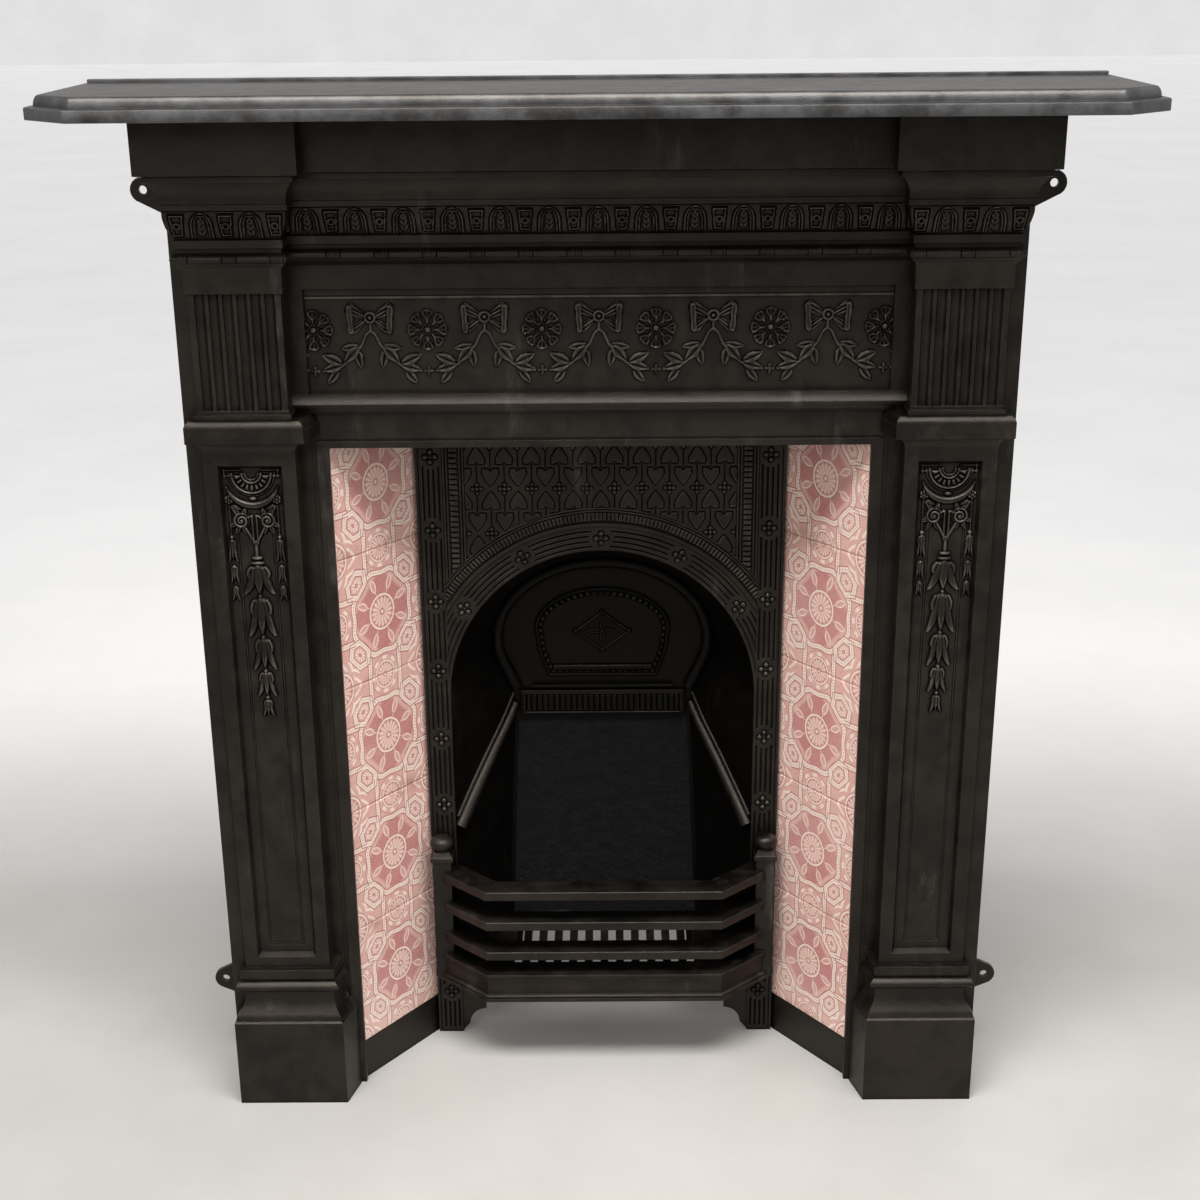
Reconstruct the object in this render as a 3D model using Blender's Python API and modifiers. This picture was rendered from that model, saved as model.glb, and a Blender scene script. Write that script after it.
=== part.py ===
"""A Victorian cast-iron combination fireplace: shelf, surround, tiled arch insert and grate.

Metres, +Z up, the front towards -Y. Every depth below is measured from the face of the arch
plate, negative towards the room. One empty carries all pieces and puts the middle of the
whole object's footprint on the world origin.
"""

import math

import bmesh
import bpy
from mathutils import Matrix, Vector

MM = 0.001
SEAM = 0.3 * MM
BITE = 1.0 * MM

# Where the casting meets the wall, and how thick its walls are
WALL_Y = -45 * MM
IRON = 8 * MM

# Tiles: five six-inch tiles a side, splayed from the surround back to the arch plate
TILE = 152.4 * MM
TILE_THICK = 10 * MM
TILE_JOINT = 0.4 * MM
TILES_A_SIDE = 5
TILE_LAP = 3.5 * MM
TILE_TUCK = 6.5 * MM
KERB_HEIGHT = 50 * MM
TRAY_THICK = 6 * MM
PLATE_THICK = 8 * MM
PLATE_TOP = KERB_HEIGHT + TILES_A_SIDE * (TILE + TILE_JOINT) + 2 * MM

# Inner strip of the surround, which frames the tiles and laps over them
OPENING_HALF = 293 * MM
OPENING_TOP = PLATE_TOP - 23 * MM
FRAME_Y = -120 * MM
FRAME_WIDTH = 19 * MM
TILE_CORNER_X = OPENING_HALF + TILE_LAP
TILE_CORNER_Y = FRAME_Y + IRON + SEAM

# The arch plate is as wide as the splayed tiles leave room for
SPLAY_SPAN = TILE - TILE_TUCK
SPLAY_DEPTH = PLATE_THICK - TILE_CORNER_Y
PLATE_HALF = TILE_CORNER_X - math.sqrt(SPLAY_SPAN**2 - SPLAY_DEPTH**2)

# Pilaster: plinth, shaft, capital block and fluted block
SHAFT_INNER_X = OPENING_HALF + 31.5 * MM
SHAFT_WIDTH = 99 * MM
SHAFT_OUTER_X = SHAFT_INNER_X + SHAFT_WIDTH
PLINTH_STEP = 16.5 * MM
PLINTH_OUTER_X = SHAFT_OUTER_X + PLINTH_STEP
PLINTH_INNER_X = SHAFT_INNER_X - 13.5 * MM
PLINTH_HEIGHT = 113 * MM
SHAFT_Y = -152 * MM
PLINTH_Y = SHAFT_Y - 15 * MM
STRIP_Y = SHAFT_Y + 10 * MM
PIER_OUTER_X = SHAFT_OUTER_X + 18.5 * MM
CANT = 12 * MM
BASE_TOP = PLINTH_HEIGHT + 64 * MM
SHAFT_TOP = OPENING_TOP + 13 * MM
CAP_STEP = 13.5 * MM
BLOCK_BOTTOM = SHAFT_TOP + 37 * MM
BLOCK_TOP = BLOCK_BOTTOM + 121 * MM
BLOCK_Y = SHAFT_Y - 8 * MM
BLOCK_OUTER_X = SHAFT_OUTER_X - 0.5 * MM
BLOCK_INNER_X = SHAFT_INNER_X + 2.5 * MM
PANEL_MARGIN = 15 * MM
PANEL_BOTTOM = BASE_TOP + 14 * MM
PANEL_TOP = SHAFT_TOP - 24 * MM
PANEL_DEPTH = 7 * MM
FLUTES = 6
FLUTE_PITCH = 14.5 * MM
FLUTE_WIDTH = 10.8 * MM
FLUTE_DEPTH = 5 * MM

# Frieze and cornice
FRIEZE_Y = FRAME_Y - 5 * MM
FRIEZE_HALF = BLOCK_INNER_X - 17 * MM
FRIEZE_BOTTOM = BLOCK_BOTTOM + 10 * MM
FRIEZE_TOP = BLOCK_TOP - 1 * MM
FRIEZE_DEPTH = 6 * MM
NECK_TOP = BLOCK_TOP + 24 * MM
CORNICE_SETBACK = 30 * MM
INNER_RETURN = 0.82
BAND_BOTTOM = NECK_TOP + 33 * MM
BAND_TOP = BAND_BOTTOM + 28 * MM
BAND_SQUARES = 12
BAND_PITCH = 49.6 * MM
FASCIA_BOTTOM = BAND_TOP + 36 * MM
FASCIA_STEP = 37 * MM
SHELF_BOTTOM = FASCIA_BOTTOM + 57 * MM
SURROUND_TOP = SHELF_BOTTOM + 14 * MM

# Frieze ornament: rosettes and bows take turns, one pitch for each pair
ROSETTE_PITCH = 120.6 * MM
ROSETTE_RADIUS = 22 * MM
ROSETTE_Z = FRIEZE_BOTTOM + 66 * MM
BOW_Z = ROSETTE_Z + 10 * MM
TIE_Z = ROSETTE_Z - 42 * MM
RELIEF = 5 * MM

# Shelf
SHELF_HALF = PIER_OUTER_X + 106 * MM
SHELF_FRONT_Y = BLOCK_Y - 128 * MM
SHELF_CANT = 50 * MM
SHELF_BAND = 12 * MM
SHELF_TOP = SHELF_BOTTOM + 23 * MM
SHELF_STEP = 9 * MM
SHELF_RIM = 14 * MM
UPSTAND_HEIGHT = 4 * MM
UPSTAND_WIDTH = 8 * MM

# Arch plate
PLATE_STILE = 31 * MM
ARCH_RADIUS = PLATE_HALF - PLATE_STILE
ARCH_SPRING = 459.6 * MM
BAND_RADIUS = ARCH_RADIUS + 14.5 * MM
STRIP_X = PLATE_HALF - 17.7 * MM
REED_PITCH = 6 * MM
REED_WIDTH = 2.6 * MM
REED_DEPTH = 1.2 * MM
REEDS = 4
QUATREFOIL_TOP = OPENING_TOP - 39 * MM
QUATREFOIL_PITCH = 87 * MM
QUATREFOIL_RADIUS = 12.3 * MM
QUATREFOILS = 6
RIM_RADIUS = ARCH_RADIUS + 39 * MM
RIM_WIDTH = 12 * MM
RIM_SIDE = STRIP_X - 19.3 * MM
LEAF_PITCH = 31.8 * MM
LEAF_SIZE = 20 * MM
BRACKET_REACH = 30 * MM
BRACKET_TOP = 92 * MM
BRACKET_BOTTOM = 12 * MM
BRACKET_HOLLOW = 21 * MM

# Grate
BAR_DEPTH = 32 * MM
BAR_THICK = 11 * MM
BAR_REACH = 69 * MM
BAR_FRONT_Y = -BAR_REACH - 14 * MM
BAR_END_X = PLATE_HALF - 1 * MM
BAR_CORNER_X = BAR_END_X - BAR_REACH
RAIL_BOTTOM = 91 * MM
RAIL_TOP = RAIL_BOTTOM + 37 * MM
BAR_PITCH = 40.5 * MM
BARS = 3
TOP_BAR = RAIL_TOP + 30 * MM + (BARS - 1) * BAR_PITCH
POST_WIDTH = 22 * MM
POST_DEPTH = 27 * MM
POST_X = BAR_END_X - 13.5 * MM
KNOB_Y = -16 * MM
KNOB_RADIUS = 14.7 * MM
KNOB_HEIGHT = 19 * MM
KNOB_SIDES = 8
GRATE_THICK = 10 * MM
GRATE_SLOTS = 12
GRATE_PITCH = 19.6 * MM
GRATE_SLOT = 9.6 * MM

# Fireback, brick and flap
HOOD_DEPTH = 110 * MM
BACK_THICK = 8 * MM
HOOD_BOTTOM = RAIL_BOTTOM + 9 * MM
HORSESHOE_HALF = ARCH_RADIUS - 46 * MM
HORSESHOE_Z = ARCH_SPRING + 37.4 * MM
HORSESHOE_RISE = 104 * MM
WAIST_HALF = ARCH_RADIUS - 70 * MM
WAIST_Z = ARCH_SPRING - 29.6 * MM
BRICK_TOP = WAIST_Z - 36 * MM
BRICK_THICK = 30 * MM
BRICK_TOP_HALF = ARCH_RADIUS - 76 * MM
BRICK_FOOT_HALF = ARCH_RADIUS - 60 * MM
FLAP_HALF = HORSESHOE_HALF - 52 * MM
FLAP_FOOT_HALF = FLAP_HALF - 16 * MM
FLAP_Z = HORSESHOE_Z + 13 * MM
FLAP_RISE = 53 * MM
FLAP_BOTTOM = FLAP_Z - 63 * MM
FLAP_THICK = 6 * MM
FLAP_SEAT = 4 * MM
FLUE_LAP = 6 * MM
DIAMOND_HALF = 31 * MM
DIAMOND_RISE = 25 * MM

# Fixing lugs on the wall plane: hole centre, and where the web meets the pier
LUG_THICK = 6 * MM
LUG_RADIUS = 13.5 * MM
LUG_HOLE = 4.6 * MM
LUG_SIDES = 16
TOP_LUG_X = PIER_OUTER_X + 42 * MM
TOP_LUG_Z = FASCIA_BOTTOM - 28 * MM
LOW_LUG_X = PIER_OUTER_X + 29 * MM
LOW_LUG_Z = PLINTH_HEIGHT - 5 * MM
TOP_LUG = (TOP_LUG_X, TOP_LUG_Z, TOP_LUG_Z - 37 * MM, TOP_LUG_Z + 26 * MM)
LOW_LUG = (LOW_LUG_X, LOW_LUG_Z, LOW_LUG_Z - 28 * MM, LOW_LUG_Z + 30 * MM)

MATERIALS = {
    "black_iron": ((0.022, 0.021, 0.020), 0.52, 0.35),
    "polished_iron": ((0.10, 0.105, 0.115), 0.42, 0.6),
    "rose_tile": ((0.62, 0.34, 0.31), 0.22, 0.0),
    "firebrick": ((0.018, 0.018, 0.018), 0.95, 0.0),
}

FIREBACK_REAR = HOOD_DEPTH + BRICK_THICK + BACK_THICK
MID_DEPTH = (SHELF_FRONT_Y + FIREBACK_REAR) / 2


def clear_scene():
    for obj in list(bpy.data.objects):
        bpy.data.objects.remove(obj)


def make_collection(name, helper=False):
    made = bpy.data.collections.new(name)
    made.hide_render = helper
    bpy.context.scene.collection.children.link(made)
    return made


def make_material(name):
    color, roughness, metallic = MATERIALS[name]
    made = bpy.data.materials.new(name)
    made.use_nodes = True
    shader = made.node_tree.nodes["Principled BSDF"]
    shader.inputs["Base Color"].default_value = (*color, 1)
    shader.inputs["Roughness"].default_value = roughness
    shader.inputs["Metallic"].default_value = metallic
    return made


def tidy(bm):
    bmesh.ops.remove_doubles(bm, verts=bm.verts, dist=1e-6)
    bmesh.ops.dissolve_degenerate(bm, edges=bm.edges, dist=1e-6)
    bmesh.ops.recalc_face_normals(bm, faces=bm.faces)


def mesh_from(name, bm):
    tidy(bm)
    mesh = bpy.data.meshes.new(name)
    bm.to_mesh(mesh)
    bm.free()
    return mesh


def add_piece(name, mesh, material):
    obj = bpy.data.objects.new(name, mesh)
    PIECES.objects.link(obj)
    obj.parent = ORIGIN
    mesh.materials.clear()
    mesh.materials.append(material)
    return obj


def add_helper(name, mesh):
    obj = bpy.data.objects.new(name, mesh)
    HELPERS.objects.link(obj)
    obj.parent = ORIGIN
    obj.hide_render = True
    obj.display_type = "WIRE"
    return obj


def boolean(obj, other, operation="DIFFERENCE"):
    modifier = obj.modifiers.new(other.name, "BOOLEAN")
    modifier.operation = operation
    modifier.solver = "EXACT"
    modifier.object = other


def merge_flats(obj):
    """Joins flat faces that Booleans left in pieces."""
    modifier = obj.modifiers.new("merge_flats", "DECIMATE")
    modifier.decimate_type = "DISSOLVE"
    modifier.angle_limit = math.radians(0.2)


def box_into(bm, low, high):
    middle = [(a + b) / 2 for a, b in zip(low, high)]
    size = [b - a for a, b in zip(low, high)]
    matrix = Matrix.Translation(middle) @ Matrix.Diagonal((*size, 1))
    bmesh.ops.create_cube(bm, size=1, matrix=matrix)


def box_mesh(name, low, high, mirrored=False):
    bm = bmesh.new()
    box_into(bm, low, high)
    if mirrored:
        box_into(bm, (-high[0], low[1], low[2]), (-low[0], high[1], high[2]))
    return mesh_from(name, bm)


def stack(name, levels):
    """Lofts outlines of one point count, [(height, [(x, y), ...]), ...], into a closed solid."""
    bm = bmesh.new()
    loops = [[bm.verts.new((x, y, z)) for x, y in outline] for z, outline in levels]
    count = len(loops[0])
    for lower, upper in zip(loops, loops[1:]):
        for i in range(count):
            j = (i + 1) % count
            bm.faces.new((lower[i], lower[j], upper[j], upper[i]))
    bm.faces.new(loops[0])
    bm.faces.new(loops[-1])
    return mesh_from(name, bm)


def mirrored_outline(right):
    """Closes a right half, listed from the middle outwards and back, with its mirror image."""
    left = [(-x, y) for x, y in reversed(right) if x > 1e-9]
    return right + left


def flat_shape(name, outlines, thickness, matrix):
    """Flat outlines as slabs about the XY plane, moved by a matrix. One inside another is a hole."""
    curve = bpy.data.curves.new(name, "CURVE")
    curve.dimensions = "2D"
    curve.fill_mode = "BOTH"
    curve.extrude = thickness / 2
    for outline in outlines:
        spline = curve.splines.new("POLY")
        spline.points.add(len(outline) - 1)
        for point, (x, y) in zip(spline.points, outline):
            point.co = (x, y, 0, 1)
        spline.use_cyclic_u = True
    guide = bpy.data.objects.new(name, curve)
    bpy.context.scene.collection.objects.link(guide)
    graph = bpy.context.evaluated_depsgraph_get()
    mesh = bpy.data.meshes.new_from_object(guide.evaluated_get(graph))
    mesh.transform(matrix)
    bpy.data.objects.remove(guide)
    bm = bmesh.new()
    bm.from_mesh(mesh)
    bpy.data.meshes.remove(mesh)
    return mesh_from(name, bm)


def relief(name, outlines, front_y, back_y):
    """Slabs standing in the XZ plane, one for each outline; an outline inside another is a hole."""
    middle = Matrix.Translation((0, (front_y + back_y) / 2, 0))
    upright_turn = Matrix.Rotation(math.pi / 2, 4, "X")
    return flat_shape(name, outlines, back_y - front_y, middle @ upright_turn)


def upright(name, outline, bottom, top):
    """A plan outline, [(x, y), ...], carried from one height to another."""
    return flat_shape(name, [outline], top - bottom, Matrix.Translation((0, 0, (bottom + top) / 2)))


def arc(center, radius, start, end, steps, squash=1.0):
    points = []
    for i in range(steps + 1):
        angle = math.radians(start + (end - start) * i / steps)
        x = center[0] + radius * math.cos(angle)
        points.append((x, center[1] + squash * radius * math.sin(angle)))
    return points


def curve_between(start, end, bulge, steps):
    """Heights and projections of a moulding: a straight line bowed by bulge at its middle."""
    points = []
    for i in range(steps + 1):
        share = i / steps
        z = start[0] + (end[0] - start[0]) * share
        projection = start[1] + (end[1] - start[1]) * share
        points.append((z, projection + bulge * math.sin(math.pi * share)))
    return points


def surround_outline(face, outer, inner, flank_foot, centre):
    """One level's plan outline. face and centre are the depths of the pier and of the middle."""
    side = max(PIER_OUTER_X, outer)
    return mirrored_outline(
        [
            (0, centre),
            (flank_foot, centre),
            (inner, face),
            (outer, face),
            (outer, STRIP_Y),
            (side, STRIP_Y),
            (side, WALL_Y),
            (0, WALL_Y),
        ]
    )


def pilaster_levels():
    """Plinth, base, shaft and capital, each level as (height, face, outer, inner, foot)."""
    levels = []

    def level(z, out, canted, shrink=0.0):
        """out is how far this level stands in front of the shaft, canted by how much."""
        share = out / (SHAFT_Y - PLINTH_Y)
        outer = SHAFT_OUTER_X + share * (PLINTH_OUTER_X - SHAFT_OUTER_X)
        inner = SHAFT_INNER_X - share * (SHAFT_INNER_X - PLINTH_INNER_X)
        levels.append((z, SHAFT_Y - out, outer - shrink, inner + shrink, inner - canted))

    full = SHAFT_Y - PLINTH_Y
    level(0, full, CANT)
    level(PLINTH_HEIGHT - 4 * MM, full, CANT)
    level(PLINTH_HEIGHT - 2 * MM, full - 2 * MM, CANT)
    level(PLINTH_HEIGHT, full - 2 * MM, CANT)
    scotia = curve_between(
        (PLINTH_HEIGHT + 4 * MM, full - 3 * MM), (BASE_TOP - 31 * MM, 3 * MM), -3.4 * MM, 4
    )
    for z, out in scotia:
        level(z, out, CANT * 0.8)
    torus = curve_between(
        (BASE_TOP - 29.5 * MM, 6 * MM), (BASE_TOP - 16 * MM, 6 * MM), 5.5 * MM, 4
    )
    for z, out in torus:
        level(z, out, CANT * 0.6)
    level(BASE_TOP - 15.2 * MM, 3.5 * MM, CANT * 0.5)
    level(BASE_TOP - 12.8 * MM, 3.5 * MM, CANT * 0.5)
    level(BASE_TOP - 12 * MM, 6 * MM, CANT * 0.5)
    level(BASE_TOP - 1 * MM, 6 * MM, CANT * 0.5)
    level(BASE_TOP, 0, 0)
    for z, out in curve_between((SHAFT_TOP - 10 * MM, 0), (SHAFT_TOP, 5 * MM), -1 * MM, 2):
        level(z, out, 0)
    cap_out = CAP_STEP
    level(SHAFT_TOP + 2.5 * MM, cap_out, CANT * 0.9)
    level(SHAFT_TOP + 16 * MM, cap_out, CANT * 0.9)
    cyma = curve_between(
        (SHAFT_TOP + 17 * MM, cap_out), (SHAFT_TOP + 26 * MM, cap_out - 4 * MM), 1.5 * MM, 3
    )
    for z, out in cyma:
        level(z, out, CANT * 0.8)
    return levels


def block_levels():
    """Fluted block and necking, as (height, projection of the pier, projection of the middle)."""
    return [
        (BLOCK_BOTTOM - 10.4 * MM, 2 * MM, 2 * MM),
        (BLOCK_BOTTOM - 8.5 * MM, 2 * MM, 2 * MM),
        (BLOCK_BOTTOM - 8 * MM, 4 * MM, 4 * MM),
        (BLOCK_BOTTOM - 4 * MM, 4 * MM, 6 * MM),
        (BLOCK_BOTTOM - 3.4 * MM, 1.5 * MM, 8 * MM),
        (BLOCK_BOTTOM, 1.5 * MM, 9.5 * MM),
        (BLOCK_BOTTOM + 0.5 * MM, 0, 9.5 * MM),
        (FRIEZE_BOTTOM - 5 * MM, 0, 7 * MM),
        (FRIEZE_BOTTOM, 0, 0),
        (BLOCK_TOP, 0, 0),
        (BLOCK_TOP + 0.6 * MM, 3 * MM, 0),
        (NECK_TOP, 3 * MM, 0),
    ]


def cornice_levels():
    """The cornice above the necking, as (height, projection)."""
    bead = NECK_TOP + 7 * MM
    levels = [(NECK_TOP + 4 * MM, 5 * MM), (bead, 9 * MM)]
    levels += curve_between(
        (bead + 0.8 * MM, 9.5 * MM), (bead + 10.6 * MM, 9.5 * MM), 3.2 * MM, 3
    )
    levels += [
        (bead + 11.2 * MM, 6 * MM),
        (bead + 15.4 * MM, 6 * MM),
        (bead + 16 * MM, 8.5 * MM),
        (BAND_BOTTOM - 2 * MM, 8.5 * MM),
        (BAND_BOTTOM - 1.4 * MM, 7.5 * MM),
    ]
    levels += curve_between((BAND_BOTTOM, 8 * MM), (BAND_TOP, 17 * MM), 3 * MM, 3)
    cavetto = BAND_TOP + 6.6 * MM
    levels += [(BAND_TOP + 0.6 * MM, 18.5 * MM), (BAND_TOP + 6 * MM, 18.5 * MM)]
    levels += curve_between(
        (cavetto, 17.5 * MM), (FASCIA_BOTTOM - 8 * MM, 27 * MM), -3 * MM, 3
    )
    levels += [
        (FASCIA_BOTTOM - 7.4 * MM, 30 * MM),
        (FASCIA_BOTTOM - 2 * MM, 30 * MM),
        (FASCIA_BOTTOM, FASCIA_STEP),
        (SURROUND_TOP, FASCIA_STEP),
    ]
    return levels


def surround_body():
    levels = []
    for z, face, outer, inner, foot in pilaster_levels():
        levels.append((z, surround_outline(face, outer, inner, foot, FRAME_Y)))
    for z, out, middle in block_levels():
        inner = BLOCK_INNER_X - INNER_RETURN * out
        centre = FRIEZE_Y - middle
        levels.append(
            (z, surround_outline(BLOCK_Y - out, BLOCK_OUTER_X + out, inner, inner, centre))
        )
    for z, out in cornice_levels():
        inner = BLOCK_INNER_X - INNER_RETURN * out
        centre = BLOCK_Y - out + CORNICE_SETBACK
        levels.append(
            (z, surround_outline(BLOCK_Y - out, BLOCK_OUTER_X + out, inner, inner, centre))
        )
    return stack("surround", levels)


def middle_hollow():
    """The space behind frame, frieze and cornice, from pier to pier."""
    back = WALL_Y + 2 * MM
    steps = [
        (-2 * BITE, FRAME_Y + IRON, SHAFT_INNER_X),
        (NECK_TOP + 1.5 * IRON, BLOCK_Y + CORNICE_SETBACK, SHAFT_INNER_X - 2.5 * IRON),
        (FASCIA_BOTTOM + IRON / 2, BLOCK_Y - FASCIA_STEP + CORNICE_SETBACK + IRON, SHAFT_INNER_X - 4 * IRON),
    ]
    tops = [low for low, *_ in steps[1:]] + [SURROUND_TOP - 2 * IRON]
    levels = []
    for (low, front, half), top in zip(steps, tops):
        outline = [(-half, front), (half, front), (half, back), (-half, back)]
        levels += [(low, outline), (top - SEAM, outline)]
    return stack("cut_middle_hollow", levels)


def pier_hollow():
    """The space inside both piers, open to the wall: it steps out with plinth and cornice."""
    wall = SHAFT_INNER_X + IRON
    side = PIER_OUTER_X - IRON
    face_side = BLOCK_OUTER_X - IRON
    steps = [
        (IRON, PLINTH_Y + IRON, PLINTH_INNER_X + 1.5 * IRON, PLINTH_OUTER_X - IRON),
        (PLINTH_HEIGHT - IRON, SHAFT_Y + PANEL_DEPTH + IRON, wall, face_side),
        (BLOCK_BOTTOM - 2 * IRON, BLOCK_Y + FLUTE_DEPTH + IRON, wall + IRON, face_side),
        (BLOCK_TOP + IRON, BLOCK_Y + IRON, wall + IRON, face_side),
        (FASCIA_BOTTOM + IRON / 2, BLOCK_Y - FASCIA_STEP + IRON, wall - 3 * IRON, side + 2 * IRON),
    ]
    tops = [low for low, *_ in steps[1:]] + [SURROUND_TOP - 2 * IRON - BITE]
    levels = []
    for (low, front, inner, outer), top in zip(steps, tops):
        outline = [
            (inner, front),
            (outer, front),
            (outer, STRIP_Y + IRON),
            (side, STRIP_Y + IRON),
            (side, WALL_Y + 3 * BITE),
            (wall, WALL_Y + 3 * BITE),
            (wall, STRIP_Y + IRON),
            (inner, STRIP_Y + IRON),
        ]
        levels += [(low, outline), (top - SEAM, outline)]
    right = stack("cut_pier_hollows", levels)
    bm = bmesh.new()
    bm.from_mesh(right)
    bmesh.ops.scale(bm, vec=(-1, 1, 1), verts=bm.verts)
    bmesh.ops.reverse_faces(bm, faces=bm.faces)
    bm.from_mesh(right)
    return mesh_from("cut_pier_hollows", bm)


def panel_cutter():
    """Sunk panels of the two shafts, with sloping sides."""
    bm = bmesh.new()
    outer = SHAFT_OUTER_X - PANEL_MARGIN
    inner = SHAFT_INNER_X + PANEL_MARGIN
    slope = 3.5 * MM
    proud = 1 * MM
    for side in (1, -1):
        rings = []
        for depth, shrink in ((-proud, -proud * slope / PANEL_DEPTH), (PANEL_DEPTH, slope)):
            y = SHAFT_Y + depth
            corners = (
                (inner + shrink, PANEL_BOTTOM + shrink),
                (outer - shrink, PANEL_BOTTOM + shrink),
                (outer - shrink, PANEL_TOP - shrink),
                (inner + shrink, PANEL_TOP - shrink),
            )
            rings.append([bm.verts.new((side * x, y, z)) for x, z in corners])
        for i in range(4):
            j = (i + 1) % 4
            bm.faces.new((rings[0][i], rings[0][j], rings[1][j], rings[1][i]))
        bm.faces.new(rings[0])
        bm.faces.new(rings[1])
    return mesh_from("cut_shaft_panels", bm)


def flute_cutter():
    bm = bmesh.new()
    height = BLOCK_TOP - BLOCK_BOTTOM
    middle = (BLOCK_OUTER_X + BLOCK_INNER_X) / 2
    squash = FLUTE_DEPTH / (FLUTE_WIDTH / 2)
    for side in (1, -1):
        for i in range(FLUTES):
            x = side * (middle + (i - (FLUTES - 1) / 2) * FLUTE_PITCH)
            place = Matrix.Translation((x, BLOCK_Y, BLOCK_BOTTOM + height / 2))
            bmesh.ops.create_cone(
                bm,
                cap_ends=True,
                segments=10,
                radius1=FLUTE_WIDTH / 2,
                radius2=FLUTE_WIDTH / 2,
                depth=height,
                matrix=place @ Matrix.Diagonal((1, squash, 1, 1)),
            )
    return mesh_from("cut_flutes", bm)


def frame_groove():
    """A shallow line that frames the tiled opening on three sides."""
    outer = OPENING_HALF + FRAME_WIDTH
    inner = OPENING_HALF + 13 * MM
    top = OPENING_TOP + (outer - OPENING_HALF) * 0.55
    low_top = OPENING_TOP + (inner - OPENING_HALF) * 0.55
    path = [(outer, -BITE), (outer, top), (-outer, top), (-outer, -BITE)]
    path += [(-inner, -BITE), (-inner, low_top), (inner, low_top), (inner, -BITE)]
    return relief("cut_frame_groove", [path], FRAME_Y - BITE, FRAME_Y + 1.6 * MM)


def lug(name, place, side):
    x, z, low, high = place
    root = PIER_OUTER_X - 2 * MM
    outline = [(root, low), (root, high)]
    outline += arc((x, z), LUG_RADIUS, 75, -75, 8)
    hole = arc((x, z), LUG_HOLE, 0, 360 - 360 / LUG_SIDES, LUG_SIDES - 1)
    if side < 0:
        outline = [(-px, pz) for px, pz in outline]
        hole = [(-px, pz) for px, pz in hole]
    return relief(name, [outline, hole], WALL_Y - LUG_THICK, WALL_Y)


def petals(x, z, count, radius, waist, turn=0.0):
    """A scalloped rosette outline, three points a petal."""
    outline = []
    for i in range(count):
        for share, reach in ((-0.32, 1.0), (0.32, 1.0), (0.5, waist)):
            angle = turn + (i + share) * 2 * math.pi / count
            outline.append(
                (x + reach * radius * math.sin(angle), z + reach * radius * math.cos(angle))
            )
    return outline


def leaf(x, z, length, width, degrees):
    """A pointed leaf growing from x, z towards the given bearing, clockwise from up."""
    angle = math.radians(degrees)
    along = (math.sin(angle), math.cos(angle))
    across = (along[1], -along[0])
    outline = []
    for reach, spread in ((0, 0.12), (0.42, 0.5), (1, 0), (0.42, -0.5), (0, -0.12)):
        px = x + along[0] * reach * length + across[0] * spread * width
        pz = z + along[1] * reach * length + across[1] * spread * width
        outline.append((px, pz))
    return outline


def frieze_outlines():
    """Rosettes, bows and the leafy twigs between them."""
    outlines = []
    steps = int(FRIEZE_HALF // (ROSETTE_PITCH / 2))
    for step in range(-steps, steps + 1):
        x = step * ROSETTE_PITCH / 2
        if step % 2:
            outlines.append(petals(x, ROSETTE_Z, 8, ROSETTE_RADIUS, 0.55))
            outlines.append(arc((x, TIE_Z), 4 * MM, 0, 315, 7))
            continue
        for side in (-1, 1):
            loop = [(2.5, -3), (9, -9), (23, -10), (24, 4), (21, 11), (8, 9), (2.5, 3)]
            outlines.append([(x + side * a * MM, BOW_Z + b * MM) for a, b in loop])
            outlines.append(twig(x, side))
    return outlines


def twig(x, side):
    """A leafy spray, as one toothed outline, from a bow to the tie below the next rosette."""
    start = Vector((x + side * 6 * MM, BOW_Z - 13 * MM))
    end = Vector((x + side * (ROSETTE_PITCH / 2 - 6 * MM), TIE_Z))
    along = (end - start).normalized()
    across = Vector((-along.y, along.x))
    leaves = 4
    upper = []
    lower = []
    for i in range(leaves):
        for share, reach in ((0.1, 1.2 * MM), (0.95, 10 * MM)):
            place = (i + share) / leaves
            spot = start.lerp(end, place)
            spot.y -= 8 * MM * math.sin(math.pi * place)
            fade = 0.3 + 0.7 * math.sin(math.pi * place)
            upper.append(tuple(spot + across * reach * fade))
            lower.append(tuple(spot - across * reach * fade))
    return upper + [tuple(end)] + lower[::-1]


def band_outlines():
    """Tapered squares of the enriched band, a leaf between each two, on middle and piers."""
    rows = []
    for i in range(BAND_SQUARES):
        rows.append(((i - (BAND_SQUARES - 1) / 2) * BAND_PITCH, "middle", False))
    for i in range(BAND_SQUARES - 1):
        rows.append(((i - (BAND_SQUARES - 2) / 2) * BAND_PITCH, "middle", True))
    pier = (BLOCK_OUTER_X + BLOCK_INNER_X) / 2
    for side in (1, -1):
        for i in range(3):
            rows.append((side * (pier + (i - 1) * BAND_PITCH), "pier", False))
        for i in range(2):
            rows.append((side * (pier + (i - 0.5) * BAND_PITCH), "pier", True))
    return rows


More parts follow.
